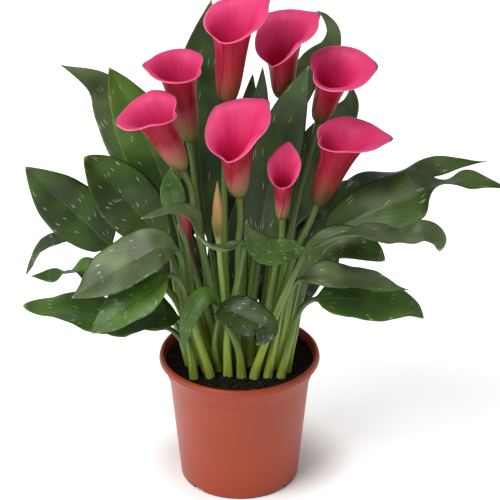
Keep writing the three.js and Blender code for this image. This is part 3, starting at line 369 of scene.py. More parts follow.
class Run:
    """A smooth run through points, asked for by its length from the first one."""

    STEPS = 24
    NEAR = 0.02

    def __init__(self, points):
        self.points = [Vector(p) for p in points]
        self.last = len(points) - 1
        self.lengths = [0]
        before = self.at(0)
        for i in range(1, self.last * self.STEPS + 1):
            now = self.at(i / self.STEPS)
            self.lengths.append(self.lengths[-1] + (now - before).length)
            before = now
        self.length = self.lengths[-1]

    def at(self, place):
        i = max(0, min(int(place), self.last - 1))
        f = place - i
        b = self.points[i]
        c = self.points[i + 1]
        a = self.points[i - 1] if i > 0 else 2 * b - c
        d = self.points[i + 2] if i + 2 <= self.last else 2 * c - b
        return 0.5 * (2 * b + (c - a) * f + (2 * a - 5 * b + 4 * c - d) * f * f
                      + (3 * b - a - 3 * c + d) * f**3)

    def place(self, length):
        i = 1
        while i < self.last * self.STEPS and self.lengths[i] < length:
            i += 1
        share = (length - self.lengths[i - 1]) / (self.lengths[i] - self.lengths[i - 1])
        return (i - 1 + share) / self.STEPS

    def length_to(self, index):
        return self.lengths[index * self.STEPS]

    def point(self, length):
        return self.at(self.place(length))

    def tangent(self, length):
        s = min(self.last - self.NEAR, max(self.NEAR, self.place(length)))
        return (self.at(s + self.NEAR) - self.at(s - self.NEAR)).normalized()


def wrap_grid(bm, around, along, rows, place, pattern=None, side=None, number=0):
    """Adds a closed skin: a grid whose columns run round and whose rows run along.

    rows holds what each row needs, and place(row, share_round) gives a point in millimetres. pattern gives
    a corner's place in the piece's UV map, and side how far a point belongs to the inner or under side.
    number tells one grid from another, so that its markings can differ.
    """
    uv_layer = bm.loops.layers.uv.verify()
    side_layer = bm.verts.layers.float.get("side") or bm.verts.layers.float.new("side")
    number_layer = bm.verts.layers.float.get("number") or bm.verts.layers.float.new("number")
    made = bmesh.ops.create_grid(bm, x_segments=around, y_segments=along, size=1)["verts"]
    faces = {face for vertex in made for face in vertex.link_faces}
    cell = {v: (round((v.co.x + 1) / 2 * around), round((v.co.y + 1) / 2 * along)) for v in made}
    for face in faces:
        for loop in face.loops:
            i, j = cell[loop.vert]
            loop[uv_layer].uv = pattern(rows[j], i / around) if pattern else (i / around, j / along)
    for vertex, (i, j) in cell.items():
        vertex.co = place(rows[j], (i % around) / around) * MM
        vertex[side_layer] = side(i / around) if side else 0
        vertex[number_layer] = number
    bmesh.ops.remove_doubles(bm, verts=made, dist=1e-7)


def mesh_of(bm, name):
    mesh = bpy.data.meshes.new(name)
    bm.to_mesh(mesh)
    bm.free()
    return mesh


def add_object(name, content):
    made = bpy.data.objects.new(name, content)
    bpy.context.scene.collection.objects.link(made)
    return made


def finish_piece(bm, name, nodes, slot, look):
    """Makes the object of a finished bmesh, which stands for the CAD nodes of those names."""
    bmesh.ops.recalc_face_normals(bm, faces=bm.faces)
    for face in bm.faces:
        face.smooth = True
    mesh = mesh_of(bm, name)
    mesh.materials.append(look)
    piece = add_object(name, mesh)
    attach(piece, "root")
    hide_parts(*nodes)
    return piece


def round_point(radius, angle, height):
    return Vector((radius * math.cos(angle), radius * math.sin(angle), height))


def foot_points(foot):
    return [(*foot, SOIL_TOP - BURIED), (*foot, FOOT_LEVEL)]


# Leaves


def blade_outline(k, power):
    """Half the width of a blade at share k of its length, against 1 at its widest."""
    total = BASE_POWER + power
    top = total**total / (BASE_POWER**BASE_POWER * power**power)
    return top * k**BASE_POWER * (1 - k) ** power


def face_at(spec, k, tangent):
    """The way a leaf's upper side looks at share k of its blade, square to the leaf's own run."""
    faces = [Vector(f).normalized() for f in spec["face"]]
    count = len(faces) - 1
    place = min(count, max(0, k * count))
    i = min(int(place), max(0, count - 1))
    face = faces[i].copy()
    if count > 0:
        face = face.lerp(faces[i + 1], smooth(0, 1, place - i))
    return (face - face.dot(tangent) * tangent).normalized()


def leaf_rows(spec, phase):
    """What each ring of a leaf needs, from its foot in the peat to its tip."""
    run = Run([*foot_points(spec["foot"]), *spec["path"]])
    stalk = run.length_to(spec["blade_from"] + 1)
    blade = run.length - stalk
    power = TIP_POWER[spec["tip"]]
    places = [(stalk * i / STALK_ROWS, 0, i / STALK_ROWS - 1) for i in range(STALK_ROWS)]
    for i in range(BLADE_ROWS + 1):
        k = (i / BLADE_ROWS) ** BASE_SPACING
        places.append((stalk + blade * k, k, k))
    rows = []
    for i, (length, k, along) in enumerate(places):
        tangent = run.tangent(length)
        up = face_at(spec, k, tangent)
        closed = 0 if i in (0, len(places) - 1) else 1
        uneven = 1 + UNEVEN_WIDTH * noise.noise((UNEVEN_SCALE * k, phase, 0))
        flare = 1 + STALK_FLARE * math.exp(-(((length - BURIED) / FLARE_REACH) ** 2))
        slim = mix(spec["stalk"], STALK_SLIMMING * spec["stalk"], min(1, length / stalk))
        rows.append(dict(
            centre=run.point(length), up=up, side=tangent.cross(up), k=k, along=along, phase=phase,
            flat=smooth(0, BLADE_STARTS, k), stalk=spec["stalk"], wave=spec["wave"], closed=closed,
            round=slim * closed * flare, half=spec["width"] / 2 * blade_outline(k, power) * uneven))
    return rows


def across_of(share):
    """Where a share of the way round lies between the margins, -1 to 1, and which side it is on."""
    if share < 0.5:
        return 4 * share - 1, 1
    return 3 - 4 * share, -1


def leaf_point(row, share):
    v, sign = across_of(share)
    k = row["k"]
    angle = math.pi * (1 - 2 * share)
    swell = math.sqrt(4 * k * (1 - k)) if k > 0 else 0
    turn = 2 * math.pi * k
    ripple = row["wave"] * v * v * swell * math.sin(MARGIN_WAVES * turn + row["phase"] + v)
    small = (SMALL_WAVE + SMALL_WAVE_GAIN * row["wave"]) * v**4 * swell
    ripple += small * math.sin(SMALL_WAVES * turn + SMALL_WAVE_TURN * row["phase"] - 2 * v)
    fold = BLADE_FOLD * (math.sqrt(v * v + FOLD_ROUND) - FOLD_START)
    lift = row["half"] * (fold - BLADE_SAG * v * v) + ripple
    rib_width = max(MIDRIB_NARROWEST, MIDRIB_WIDTH * row["stalk"] / max(1, row["half"]))
    rib_height, rib_fade = MIDRIB_BELOW if sign < 0 else MIDRIB_ABOVE
    rib = rib_height * row["stalk"] * (1 - k) ** rib_fade * math.exp(-((v / rib_width) ** 2))
    thickness = BLADE_THICKNESS * math.sqrt(max(0, 1 - v**8)) * row["closed"]
    channel = CHANNEL_DEPTH * math.exp(-(((angle - math.pi / 2) / CHANNEL_WIDTH) ** 2))
    stalk = row["round"] * (1 - channel + FLUTE_DEPTH * math.cos(FLUTES * angle))
    across = mix(math.cos(angle) * stalk, v * row["half"], row["flat"])
    high = mix(math.sin(angle) * stalk, lift + sign * thickness / 2 - rib, row["flat"])
    return row["centre"] + row["side"] * across + row["up"] * high


def leaf_pattern(row, share):
    v, _ = across_of(share)
    return 0.5 + 0.5 * v, row["along"]


def under_side(share):
    return 0 if share <= 0.5 else 1


def add_leaf(bm, spec, phase):
    rows = leaf_rows(spec, phase)
    wrap_grid(bm, LEAF_AROUND, len(rows) - 1, rows, leaf_point, leaf_pattern, under_side, number=phase)


# Blooms


def bezier(a, b, c, d, share):
    rest = 1 - share
    return rest**3 * a + 3 * rest * rest * share * b + 3 * rest * share * share * c + share**3 * d


def spathe_point(spec, u, v):
    """A point of a spathe's middle surface in its own frame.

    u runs round it from margin to margin, with the tip at 0, and v runs up from its foot to its rim.
    """
    angle = u * (math.pi - SEAM_GAP + MARGIN_CROSSING * smooth(0.05, 0.6, v))
    back = max(0, math.cos(angle)) ** BACK_POWER
    front = max(0, -math.cos(angle)) if abs(angle) > math.pi / 2 else 0
    tail = math.exp(-((angle / TAIL_WIDTH) ** 2))
    share = v * (1 - MARGIN_DROP * smooth(0.65, 1, abs(u)))

    def rim_end(axis, lip):
        return mix(mix(spec["side"][axis], spec["back"][axis], back), spec["lip"][axis], lip)

    rim_radius = rim_end(0, front**LIP_POWER) + spec["tail"] * tail
    rim_height = rim_end(1, 1 - (1 - front) ** LIP_FALL) + TAIL_LIFT * spec["tail"] * tail
    neck_radius = TUBE_NECK * spec["tube"] - NECK_PINCH * front**PINCH_POWER
    neck_height = NECK_RISE * rim_height + NECK_TAIL * tail
    radius = bezier(SPATHE_FOOT, TUBE_BULGE * spec["tube"], neck_radius, rim_radius, share)
    radius += MARGIN_STEP * u * smooth(0, 0.05, v)
    height = bezier(0, SPATHE_SWELL, neck_height, rim_height, share)
    return round_point(radius, angle, height)


def spathe_surface(spec, u, v):
    """The middle surface with its fine form: shallow ribs that run up it and a rim that waves a little."""
    point = spathe_point(spec, u, v)
    angle = math.atan2(point.y, point.x)
    ribs = SPATHE_RIB_HEIGHT * smooth(0.2, 0.5, v) * noise.noise((SPATHE_RIBS * u, 0.8 * v, spec["tube"]))
    rim = RIM_WAVE * smooth(0.75, 1, v) * noise.noise((RIM_WAVES * u, 2, spec["tube"]))
    return point + round_point(1, angle, 0) * (ribs + rim) + Vector((0, 0, RIM_NOD * rim))


def bloom_frame(spec):
    """The ways that a bloom's own X, Y and Z run: Z up its axis, and X to the side of its tip."""
    z = Vector(spec["axis"]).normalized()
    tip = Vector(spec["tip"])
    x = (tip - tip.dot(z) * z).normalized()
    return x, z.cross(x), z


def in_bloom(spec, ways, point):
    x, y, z = ways
    return Vector(spec["base"]) + x * point.x + y * point.y + z * point.z


def add_spathe(bm, spec):
    ways = bloom_frame(spec)
    rows = [(i / SPATHE_ROWS) ** SPATHE_SPACING for i in range(SPATHE_ROWS + 1)]

    def place(v, share):
        u, sign = across_of(share)
        du = spathe_surface(spec, u + SMALL_STEP, v) - spathe_surface(spec, u - SMALL_STEP, v)
        below, above = max(0, v - SMALL_STEP), min(1, v + SMALL_STEP)
        dv = spathe_surface(spec, u, above) - spathe_surface(spec, u, below)
        normal = du.cross(dv).normalized()
        taper = math.sqrt(max(0, 1 - abs(2 * v - 1) ** ROUNDED_END))
        taper *= math.sqrt(max(0, 1 - abs(u) ** ROUNDED_MARGIN))
        point = spathe_surface(spec, u, v) + normal * (sign * taper * SPATHE_THICKNESS / 2)
        return in_bloom(spec, ways, point)

    def pattern(v, share):
        u, _ = across_of(share)
        return 0.5 + 0.5 * u, v

    wrap_grid(bm, SPATHE_AROUND, SPATHE_ROWS, rows, place, pattern, under_side)


def add_spadix(bm, spec):
    """The finger of florets inside a spathe, each floret a small round bump."""
    ways = bloom_frame(spec)
    low = STEM_IN_SPATHE + SPADIX_CLEARANCE
    high = SPADIX_REACH * (spec["lip"][1] + spec["side"][1])
    rows = [i / SPADIX_ROWS for i in range(SPADIX_ROWS + 1)]

    def place(k, share):
        swell = SPADIX_BODY + SPADIX_SWELL * smooth(0.1, 0.5, k)
        body = SPADIX_FOOT + swell * math.sqrt(max(0, 1 - k**5))
        column = SPADIX_COLUMNS * share + 0.5 * (int(SPADIX_RINGS * k) % 2)
        floret = abs(math.sin(math.pi * column)) * abs(math.sin(math.pi * SPADIX_RINGS * k))
        radius = body * mix(1, SPADIX_TIP, k) - FLORET_ROOT + FLORET_HEIGHT * floret
        radius *= 0 if k in (0, 1) else 1
        return in_bloom(spec, ways, round_point(radius, 2 * math.pi * share, mix(low, high, k)))

    wrap_grid(bm, SPADIX_AROUND, SPADIX_ROWS, rows, place)


def add_rod(bm, points, radii, rolled_from=None):
    """A rod along points, with a radius for each share of its length, as pairs of share and radius.

    From share rolled_from on it has a rolled sheet's step, which winds round it.
    """
    run = Run(points)

    def radius_at(k):
        i = 1
        while i < len(radii) - 1 and radii[i][0] < k:
            i += 1
        (low, before), (high, after) = radii[i - 1], radii[i]
        return mix(before, after, min(1, max(0, (k - low) / (high - low))))

    rows = []
    for i in range(ROD_ROWS + 1):
        k = i / ROD_ROWS
        tangent = run.tangent(k * run.length)
        side = Vector((0, 1, 0)).cross(tangent).normalized()
        radius = 0 if i in (0, ROD_ROWS) else radius_at(k)
        rows.append((run.point(k * run.length), side, tangent.cross(side), radius, k))

    def place(row, share):
        centre, side, other, radius, k = row
        angle = 2 * math.pi * share
        ridge = 1 + RIDGE_HEIGHT * math.sin(ROD_RIDGES * angle)
        if rolled_from is not None:
            rolled = smooth(rolled_from, 1, k)
            step = (share + BUD_TURNS * rolled) % 1
            ridge += BUD_STEP * (step - 0.5) * smooth(0, 0.15, rolled)
        return centre + (side * math.cos(angle) + other * math.sin(angle)) * radius * ridge

    wrap_grid(bm, ROD_AROUND, ROD_ROWS, rows, place, lambda row, share: (share, row[4]))


def add_stem(bm, spec):
    axis = Vector(spec["axis"]).normalized()
    base = Vector(spec["base"])
    points = [*foot_points(spec["foot"]), *spec["path"], base - STEM_UNDER_SPATHE * axis, base,
              base + STEM_IN_SPATHE * axis]
    length = Run(points).length
    inside = 1 - (STEM_IN_SPATHE + STEM_COLLAR_REACH) / length
    foot = (FOOT_LEVEL - SOIL_TOP + BURIED) / length
    slim = SPATHE_FOOT - SPATHE_THICKNESS / 2 - STEM_GAP
    radii = [(0, STEM_FOOT), (foot, STEM_FOOT), (0.6, STEM_RADIUS), (inside - 0.05, STEM_RADIUS),
             (inside - 0.004, STEM_RADIUS + STEM_COLLAR), (inside, slim), (1, slim)]
    add_rod(bm, points, radii)


def add_bud(bm, bud):
    points = [*foot_points(bud["foot"]), *bud["path"], bud["tip"]]
    run = Run(points)
    foot = run.length_to(1) / run.length
    neck = run.length_to(len(points) - 2) / run.length
    swell = [(share, part * bud["radius"]) for share, part in BUD_SWELL]
    radii = [(0, BUD_STALK), (foot, BUD_STALK), (neck, BUD_NECK)]
    radii += [(neck + share * (1 - neck), radius) for share, radius in swell + BUD_NOSE]
    add_rod(bm, points, radii, rolled_from=neck)


# Pot, peat and tubers

POT_PROFILE = [
    (0, 0), (FOOT_RADIUS - 1.5, 0), (FOOT_RADIUS, 2), (SHOULDER_RADIUS, POT_HEIGHT - COLLAR_DEPTH),
    (COLLAR_RADIUS - 0.8, POT_HEIGHT - COLLAR_DEPTH + 1), (COLLAR_RADIUS + 2, POT_HEIGHT - 9.5),
    (RIM_RADIUS - 2.3, POT_HEIGHT - 9.3), (RIM_RADIUS, POT_HEIGHT - 6), (RIM_RADIUS - 1, POT_HEIGHT - 1.6),
    (RIM_RADIUS - 3.2, POT_HEIGHT), (MOUTH_RADIUS + 0.4, POT_HEIGHT), (MOUTH_RADIUS - 2.2, POT_HEIGHT - 9),
    (COLLAR_RADIUS - WALL - 0.8, POT_HEIGHT - COLLAR_DEPTH + 2),
    (SHOULDER_RADIUS - WALL, POT_HEIGHT - COLLAR_DEPTH), (FOOT_RADIUS - WALL, FLOOR), (0, FLOOR),
]


def pot_mesh():
    """The wall spun from its profile, outside then inside."""
    bm = bmesh.new()
    corners = [bm.verts.new((r * MM, 0, z * MM)) for r, z in POT_PROFILE]
    edges = [bm.edges.new(pair) for pair in zip(corners, corners[1:])]
    bmesh.ops.spin(bm, geom=corners + edges, cent=(0, 0, 0), axis=(0, 0, 1), angle=2 * math.pi,
                   steps=POT_STEPS, use_merge=True)
    bmesh.ops.remove_doubles(bm, verts=bm.verts, dist=POT_SAME_SPOT)
    return bm


def notch_cutters():
    """Blocks that cut the drainage slots where the pot's wall meets its foot."""
    bm = bmesh.new()
    size = Vector((NOTCH_REACH, NOTCH_WIDTH, NOTCH_HEIGHT + NOTCH_BELOW)) * MM
    middle = Vector((FOOT_RADIUS, 0, (NOTCH_HEIGHT - NOTCH_BELOW) / 2)) * MM
    for degrees in NOTCH_ANGLES:
        block = bmesh.ops.create_cube(bm, size=1)["verts"]
        bmesh.ops.scale(bm, vec=size, verts=block)
        bmesh.ops.translate(bm, vec=middle, verts=block)
        turn = math.radians(degrees)
        bmesh.ops.rotate(bm, cent=(0, 0, 0), verts=block, matrix=Matrix.Rotation(turn, 3, "Z"))
    return add_object("notches", mesh_of(bm, "notches"))


def apply_modifiers(piece):
    """Puts a piece's modifiers into its mesh."""
    depsgraph = bpy.context.evaluated_depsgraph_get()
    shaped = bpy.data.meshes.new_from_object(piece.evaluated_get(depsgraph))
    piece.modifiers.clear()
    piece.data = shaped


def make_pot(look):
    piece = finish_piece(pot_mesh(), "pot_shell", ["pot"], "terracotta_plastic", look)
    cutters = notch_cutters()
    cut = piece.modifiers.new("notches", "BOOLEAN")
    cut.operation = "DIFFERENCE"
    cut.solver = "EXACT"
    cut.object = cutters
    apply_modifiers(piece)
    bpy.data.objects.remove(cutters)
    edge = piece.modifiers.new("soft edges", "BEVEL")
    edge.width = POT_EDGE * MM
    edge.segments = 3
    edge.limit_method = "ANGLE"
    edge.angle_limit = math.radians(POT_EDGE_ANGLE)
    edge.use_clamp_overlap = True


def relief_at(x, y):
    """The peat's slow rise and fall, in millimetres."""
    return SOIL_RELIEF * (math.sin(0.11 * x + 0.07 * y) + 0.7 * math.sin(0.05 * x - 0.17 * y + 1) - 0.4)


def peat_height(x, y):
    """The peat's top in millimetres, with its clods and crumbs."""
    share = math.hypot(x, y) / PEAT_RADIUS
    spot = Vector((x, y, 0))
    clods = sum(height * noise.noise(spot * scale) for height, scale in CLODS)
    grain = GRAIN[0] * abs(noise.noise(spot * GRAIN[1])) + FINE_GRAIN[0] * noise.noise(spot * FINE_GRAIN[1])
    return SOIL_TOP - PEAT_LEVEL + (relief_at(x, y) + clods) * smooth(1, PEAT_EDGE, share) + grain


def peat_top(bm):
    """A grid pressed into a round, with the peat's surface raised on it."""
    made = bmesh.ops.create_grid(bm, x_segments=PEAT_SEGMENTS, y_segments=PEAT_SEGMENTS, size=1)["verts"]
    for vertex in made:
        x, y = vertex.co.x, vertex.co.y
        wide = PEAT_RADIUS * math.sqrt(1 - y * y / 2) * x
        deep = PEAT_RADIUS * math.sqrt(1 - x * x / 2) * y
        vertex.co = Vector((wide, deep, peat_height(wide, deep))) * MM


def add_crumbs(bm, chance, centre, nearest, furthest, count):
    """Adds crumbs round a centre, made apart because many single ones are slow to add to a large mesh."""
    batch = bmesh.new()
    for _ in range(count):
        reach = nearest + (furthest - nearest) * math.sqrt(chance.random())
        angle = chance.uniform(0, 2 * math.pi)
        x, y = centre[0] + reach * math.cos(angle), centre[1] + reach * math.sin(angle)
        size = chance.uniform(*CRUMB_SIZE) * (1 if chance.random() < COMMON_CRUMBS else LARGE_CRUMB)
        middle = Vector((x, y, peat_height(x, y) + CRUMB_LIFT * size))
        for vertex in bmesh.ops.create_icosphere(batch, subdivisions=1, radius=1)["verts"]:
            vertex.co = (middle + vertex.co * size * chance.uniform(*CRUMB_UNEVEN)) * MM
    mesh = mesh_of(batch, "crumbs")
    bm.from_mesh(mesh)
    bpy.data.meshes.remove(mesh)


def make_peat(look):
    bm = bmesh.new()
    peat_top(bm)
    levels = [(SHOULDER_RADIUS - WALL - SEAT_GAP, POT_HEIGHT - COLLAR_DEPTH),
              (FOOT_RADIUS - WALL - SEAT_GAP, FLOOR + SEAT_GAP)]
    edge = [e for e in bm.edges if e.is_boundary]
    for radius, z in levels:
        made = bmesh.ops.extrude_edge_only(bm, edges=edge)["geom"]
        for vertex in (g for g in made if isinstance(g, bmesh.types.BMVert)):
            flat = Vector((vertex.co.x, vertex.co.y)).normalized() * radius * MM
            vertex.co = (flat.x, flat.y, z * MM)
        edge = [g for g in made if isinstance(g, bmesh.types.BMEdge) and g.is_boundary]
    bmesh.ops.holes_fill(bm, edges=edge, sides=0)
    chance = random.Random(5)
    for _ in range(CRUMB_BATCHES):
        add_crumbs(bm, chance, (0, 0), 0, CRUMB_REACH, CRUMBS_IN_BATCH)
    for spec in [*LEAVES, *BLOOMS, GREEN_BUD, PINK_BUD]:
        add_crumbs(bm, chance, spec["foot"], *CRUMB_RING, CRUMBS_AT_FOOT)
    finish_piece(bm, "peat_bed", ["peat"], "peat", look)


def make_tuber(name, centre, look):
    """A flattened corky tuber with uneven lobes."""
    bm = bmesh.new()
    ball = bmesh.ops.create_icosphere(bm, subdivisions=5, radius=1)["verts"]
    for vertex in ball:
        way = vertex.co.copy()
        angle = math.atan2(way.y, way.x)
        level = math.sqrt(max(0, 1 - way.z**2))
        lobes = LOBE_DEPTH * math.sin(3 * angle + LOBE_TURN) + SMALL_LOBE_DEPTH * math.sin(5 * angle)
        rough = TUBER_ROUGH * noise.noise(way * TUBER_GRAIN) * level
        wide = TUBER_RADIUS * (1 + level * lobes) * TUBER_WIDE + rough
        height = min(TUBER_FLATNESS * way.z, 1) * TUBER_HEIGHT / 2 * TUBER_HIGH
        vertex.co = Vector((centre[0] + way.x * wide, centre[1] + way.y * wide,
                            TUBER_TOP - TUBER_HEIGHT / 2 + height)) * MM
    finish_piece(bm, name + "_body", [name], "tuber_skin", look)


# Materials


def node(tree, kind, inputs=(), **settings):
    """Adds a shader node. inputs pairs an input's name or number with a value or with a socket to link."""
    made = tree.nodes.new("ShaderNode" + kind)
    for key, value in settings.items():
        setattr(made, key, value)
    for key, value in dict(inputs).items():
        if isinstance(value, bpy.types.NodeSocket):
            tree.links.new(value, made.inputs[key])
        else:
            made.inputs[key].default_value = value
    return made


def maths(tree, operation, a, b=0.0, c=0.0):
    return node(tree, "Math", {0: a, 1: b, 2: c}, operation=operation).outputs[0]


def times(tree, a, b):
    return maths(tree, "MULTIPLY", a, b)


def ramp(tree, factor, stops):
    """A colour for each stretch of a factor, from pairs of place and colour."""
    made = node(tree, "ValToRGB", {"Fac": factor})
    elements = made.color_ramp.elements
    while len(elements) < len(stops):
        elements.new(0.5)
    for element, (place, colour) in zip(elements, stops):
        element.position = place
        element.color = colour
    return made.outputs["Color"]


def blend(tree, factor, a, b, mode="MIX"):
    return node(tree, "Mix", {0: factor, 6: a, 7: b}, data_type="RGBA", blend_type=mode).outputs[2]


def spread(tree, value, low, high, to_low=0.0, to_high=1.0):
    made = node(tree, "MapRange", {0: value, 1: low, 2: high, 3: to_low, 4: to_high},
                interpolation_type="SMOOTHSTEP")
    return made.outputs[0]


def noise_of(tree, vector, scale, detail=3.0, roughness=0.5):
    settings = {"Vector": vector, "Scale": scale, "Detail": detail, "Roughness": roughness}
    return node(tree, "TexNoise", settings).outputs["Fac"]


def streaks_of(tree, vector, stretch, scale=1.0, detail=3.0, start=(0.0, 0.0, 0.0)):
    """Noise drawn out along one way, as stretch says."""
    drawn = node(tree, "Mapping", {"Vector": vector, "Scale": stretch, "Location": start}).outputs[0]
    return noise_of(tree, drawn, scale, detail)


def new_look(name, roughness, specular, subsurface=0.0):
    look = bpy.data.materials.new(name)
    look.use_nodes = True
    shader = look.node_tree.nodes["Principled BSDF"]
    settings = {"Roughness": roughness, "Specular IOR Level": specular, "Subsurface Weight": subsurface,
                "Subsurface Radius": GLOW_DEPTHS, "Subsurface Scale": 1.0}
    for key, value in settings.items():
        shader.inputs[key].default_value = value
    return look, look.node_tree, shader


def finish_look(tree, shader, colour, height, strength, distance):
    """Gives a look its colour, and a height that is felt as strongly, over as many metres, as those say."""
    tree.links.new(colour, shader.inputs["Base Color"])
    bump = node(tree, "Bump", {"Height": height, "Strength": strength, "Distance": distance})
    tree.links.new(bump.outputs["Normal"], shader.inputs["Normal"])


def object_space(tree):
    return node(tree, "TexCoord").outputs["Object"]


def uv_place(tree):
    """The piece's own UV map, with its two parts."""
    place = node(tree, "UVMap").outputs["UV"]
    parts = node(tree, "SeparateXYZ", {"Vector": place})
    return place, parts.outputs["X"], parts.outputs["Y"]


def attribute_of(tree, name):
    return node(tree, "Attribute", attribute_name=name).outputs["Fac"]


def length_of(tree, vector):
    return node(tree, "VectorMath", {0: vector}, operation="LENGTH").outputs["Value"]


def rgb(red, green, blue):
    """A colour as it looks on a screen, 0 to 255, turned into the light values that shaders use."""
    def light(value):
        share = value / 255
        return share / 12.92 if share <= 0.04045 else ((share + 0.055) / 1.055) ** 2.4
    return light(red), light(green), light(blue), 1


GLOW_DEPTHS = (0.002, 0.001, 0.0006)
PALE_DASH = rgb(214, 226, 200)
DRY_TIP = rgb(168, 160, 116)
STALK_TONES = [
    (0.0, rgb(184, 198, 104)), (0.2, rgb(168, 186, 70)), (0.36, rgb(132, 156, 48)), (0.6, rgb(92, 120, 36)),
    (1.0, rgb(54, 82, 34)),
]
DARK_STREAK = rgb(44, 68, 20)
PALE_STREAK = rgb(178, 190, 120)
STEM_STREAK = rgb(60, 84, 36)
STEM_TONES = [
    (0.0, rgb(140, 162, 74)), (0.15, rgb(104, 130, 42)), (0.7, rgb(78, 104, 34)), (0.95, rgb(84, 98, 34)),
    (1.0, rgb(92, 88, 36)),
]
BUD_FOOT_TONES = [(0.0, rgb(150, 174, 84)), (0.2, rgb(120, 150, 56))]
GREEN_BUD_TONES = BUD_FOOT_TONES + [
    (0.68, rgb(120, 146, 60)), (0.8, rgb(150, 138, 66)), (0.9, rgb(176, 124, 76)), (1.0, rgb(120, 112, 60)),
]
PINK_BUD_TONES = BUD_FOOT_TONES + [
    (0.6, rgb(96, 110, 44)), (0.7, rgb(150, 30, 60)), (0.95, rgb(170, 30, 66)), (1.0, rgb(110, 60, 50)),
]
OLIVE_FOOT = (rgb(84, 66, 26), rgb(126, 44, 30))
PALE_FOOT = (rgb(116, 108, 50), rgb(150, 76, 72))
SPATHE_BASE = rgb(62, 66, 20)
OUTER_PINKS = [(0.52, rgb(134, 6, 28)), (0.75, rgb(142, 6, 34)), (1.0, rgb(182, 30, 78))]
INNER_PINKS = [
    (0.0, rgb(144, 10, 40)), (0.36, rgb(190, 16, 60)), (0.52, rgb(200, 30, 84)), (0.75, rgb(197, 44, 98)),
    (1.0, rgb(202, 56, 108)),
]
PINK_STREAK = rgb(240, 110, 152)
# Painted highlight for the spathe's rim and margins
RIM_PAINTED_HIGHLIGHT = rgb(244, 150, 180)
SPATHE_TIP = rgb(96, 84, 44)
FLORET_TONES = [(0.0, rgb(250, 190, 60)), (0.5, rgb(232, 142, 34)), (1.0, rgb(168, 84, 20))]
POT_TONES = [(0.3, rgb(140, 54, 31)), (0.7, rgb(152, 60, 35))]
RUBBED_POT = rgb(184, 100, 78)
# Painted shade for the drainage notches
NOTCH_PAINTED_SHADE = rgb(24, 14, 12)
PEAT_TONES = [(0.3, rgb(20, 15, 13)), (0.55, rgb(38, 29, 24)), (0.75, rgb(66, 52, 42))]
PEAT_SPECK = rgb(150, 128, 98)
TUBER_TONES = [(0.3, rgb(78, 54, 34)), (0.6, rgb(128, 96, 62)), (0.8, rgb(160, 128, 88))]

MAIN_VEINS = 62.0
FINE_VEINS = 170.0
DASH_ROWS = 26.0
DASHES_ALONG = 6.0
FEW_DASHES = 1.27
FEWER_DASHES = 1.4


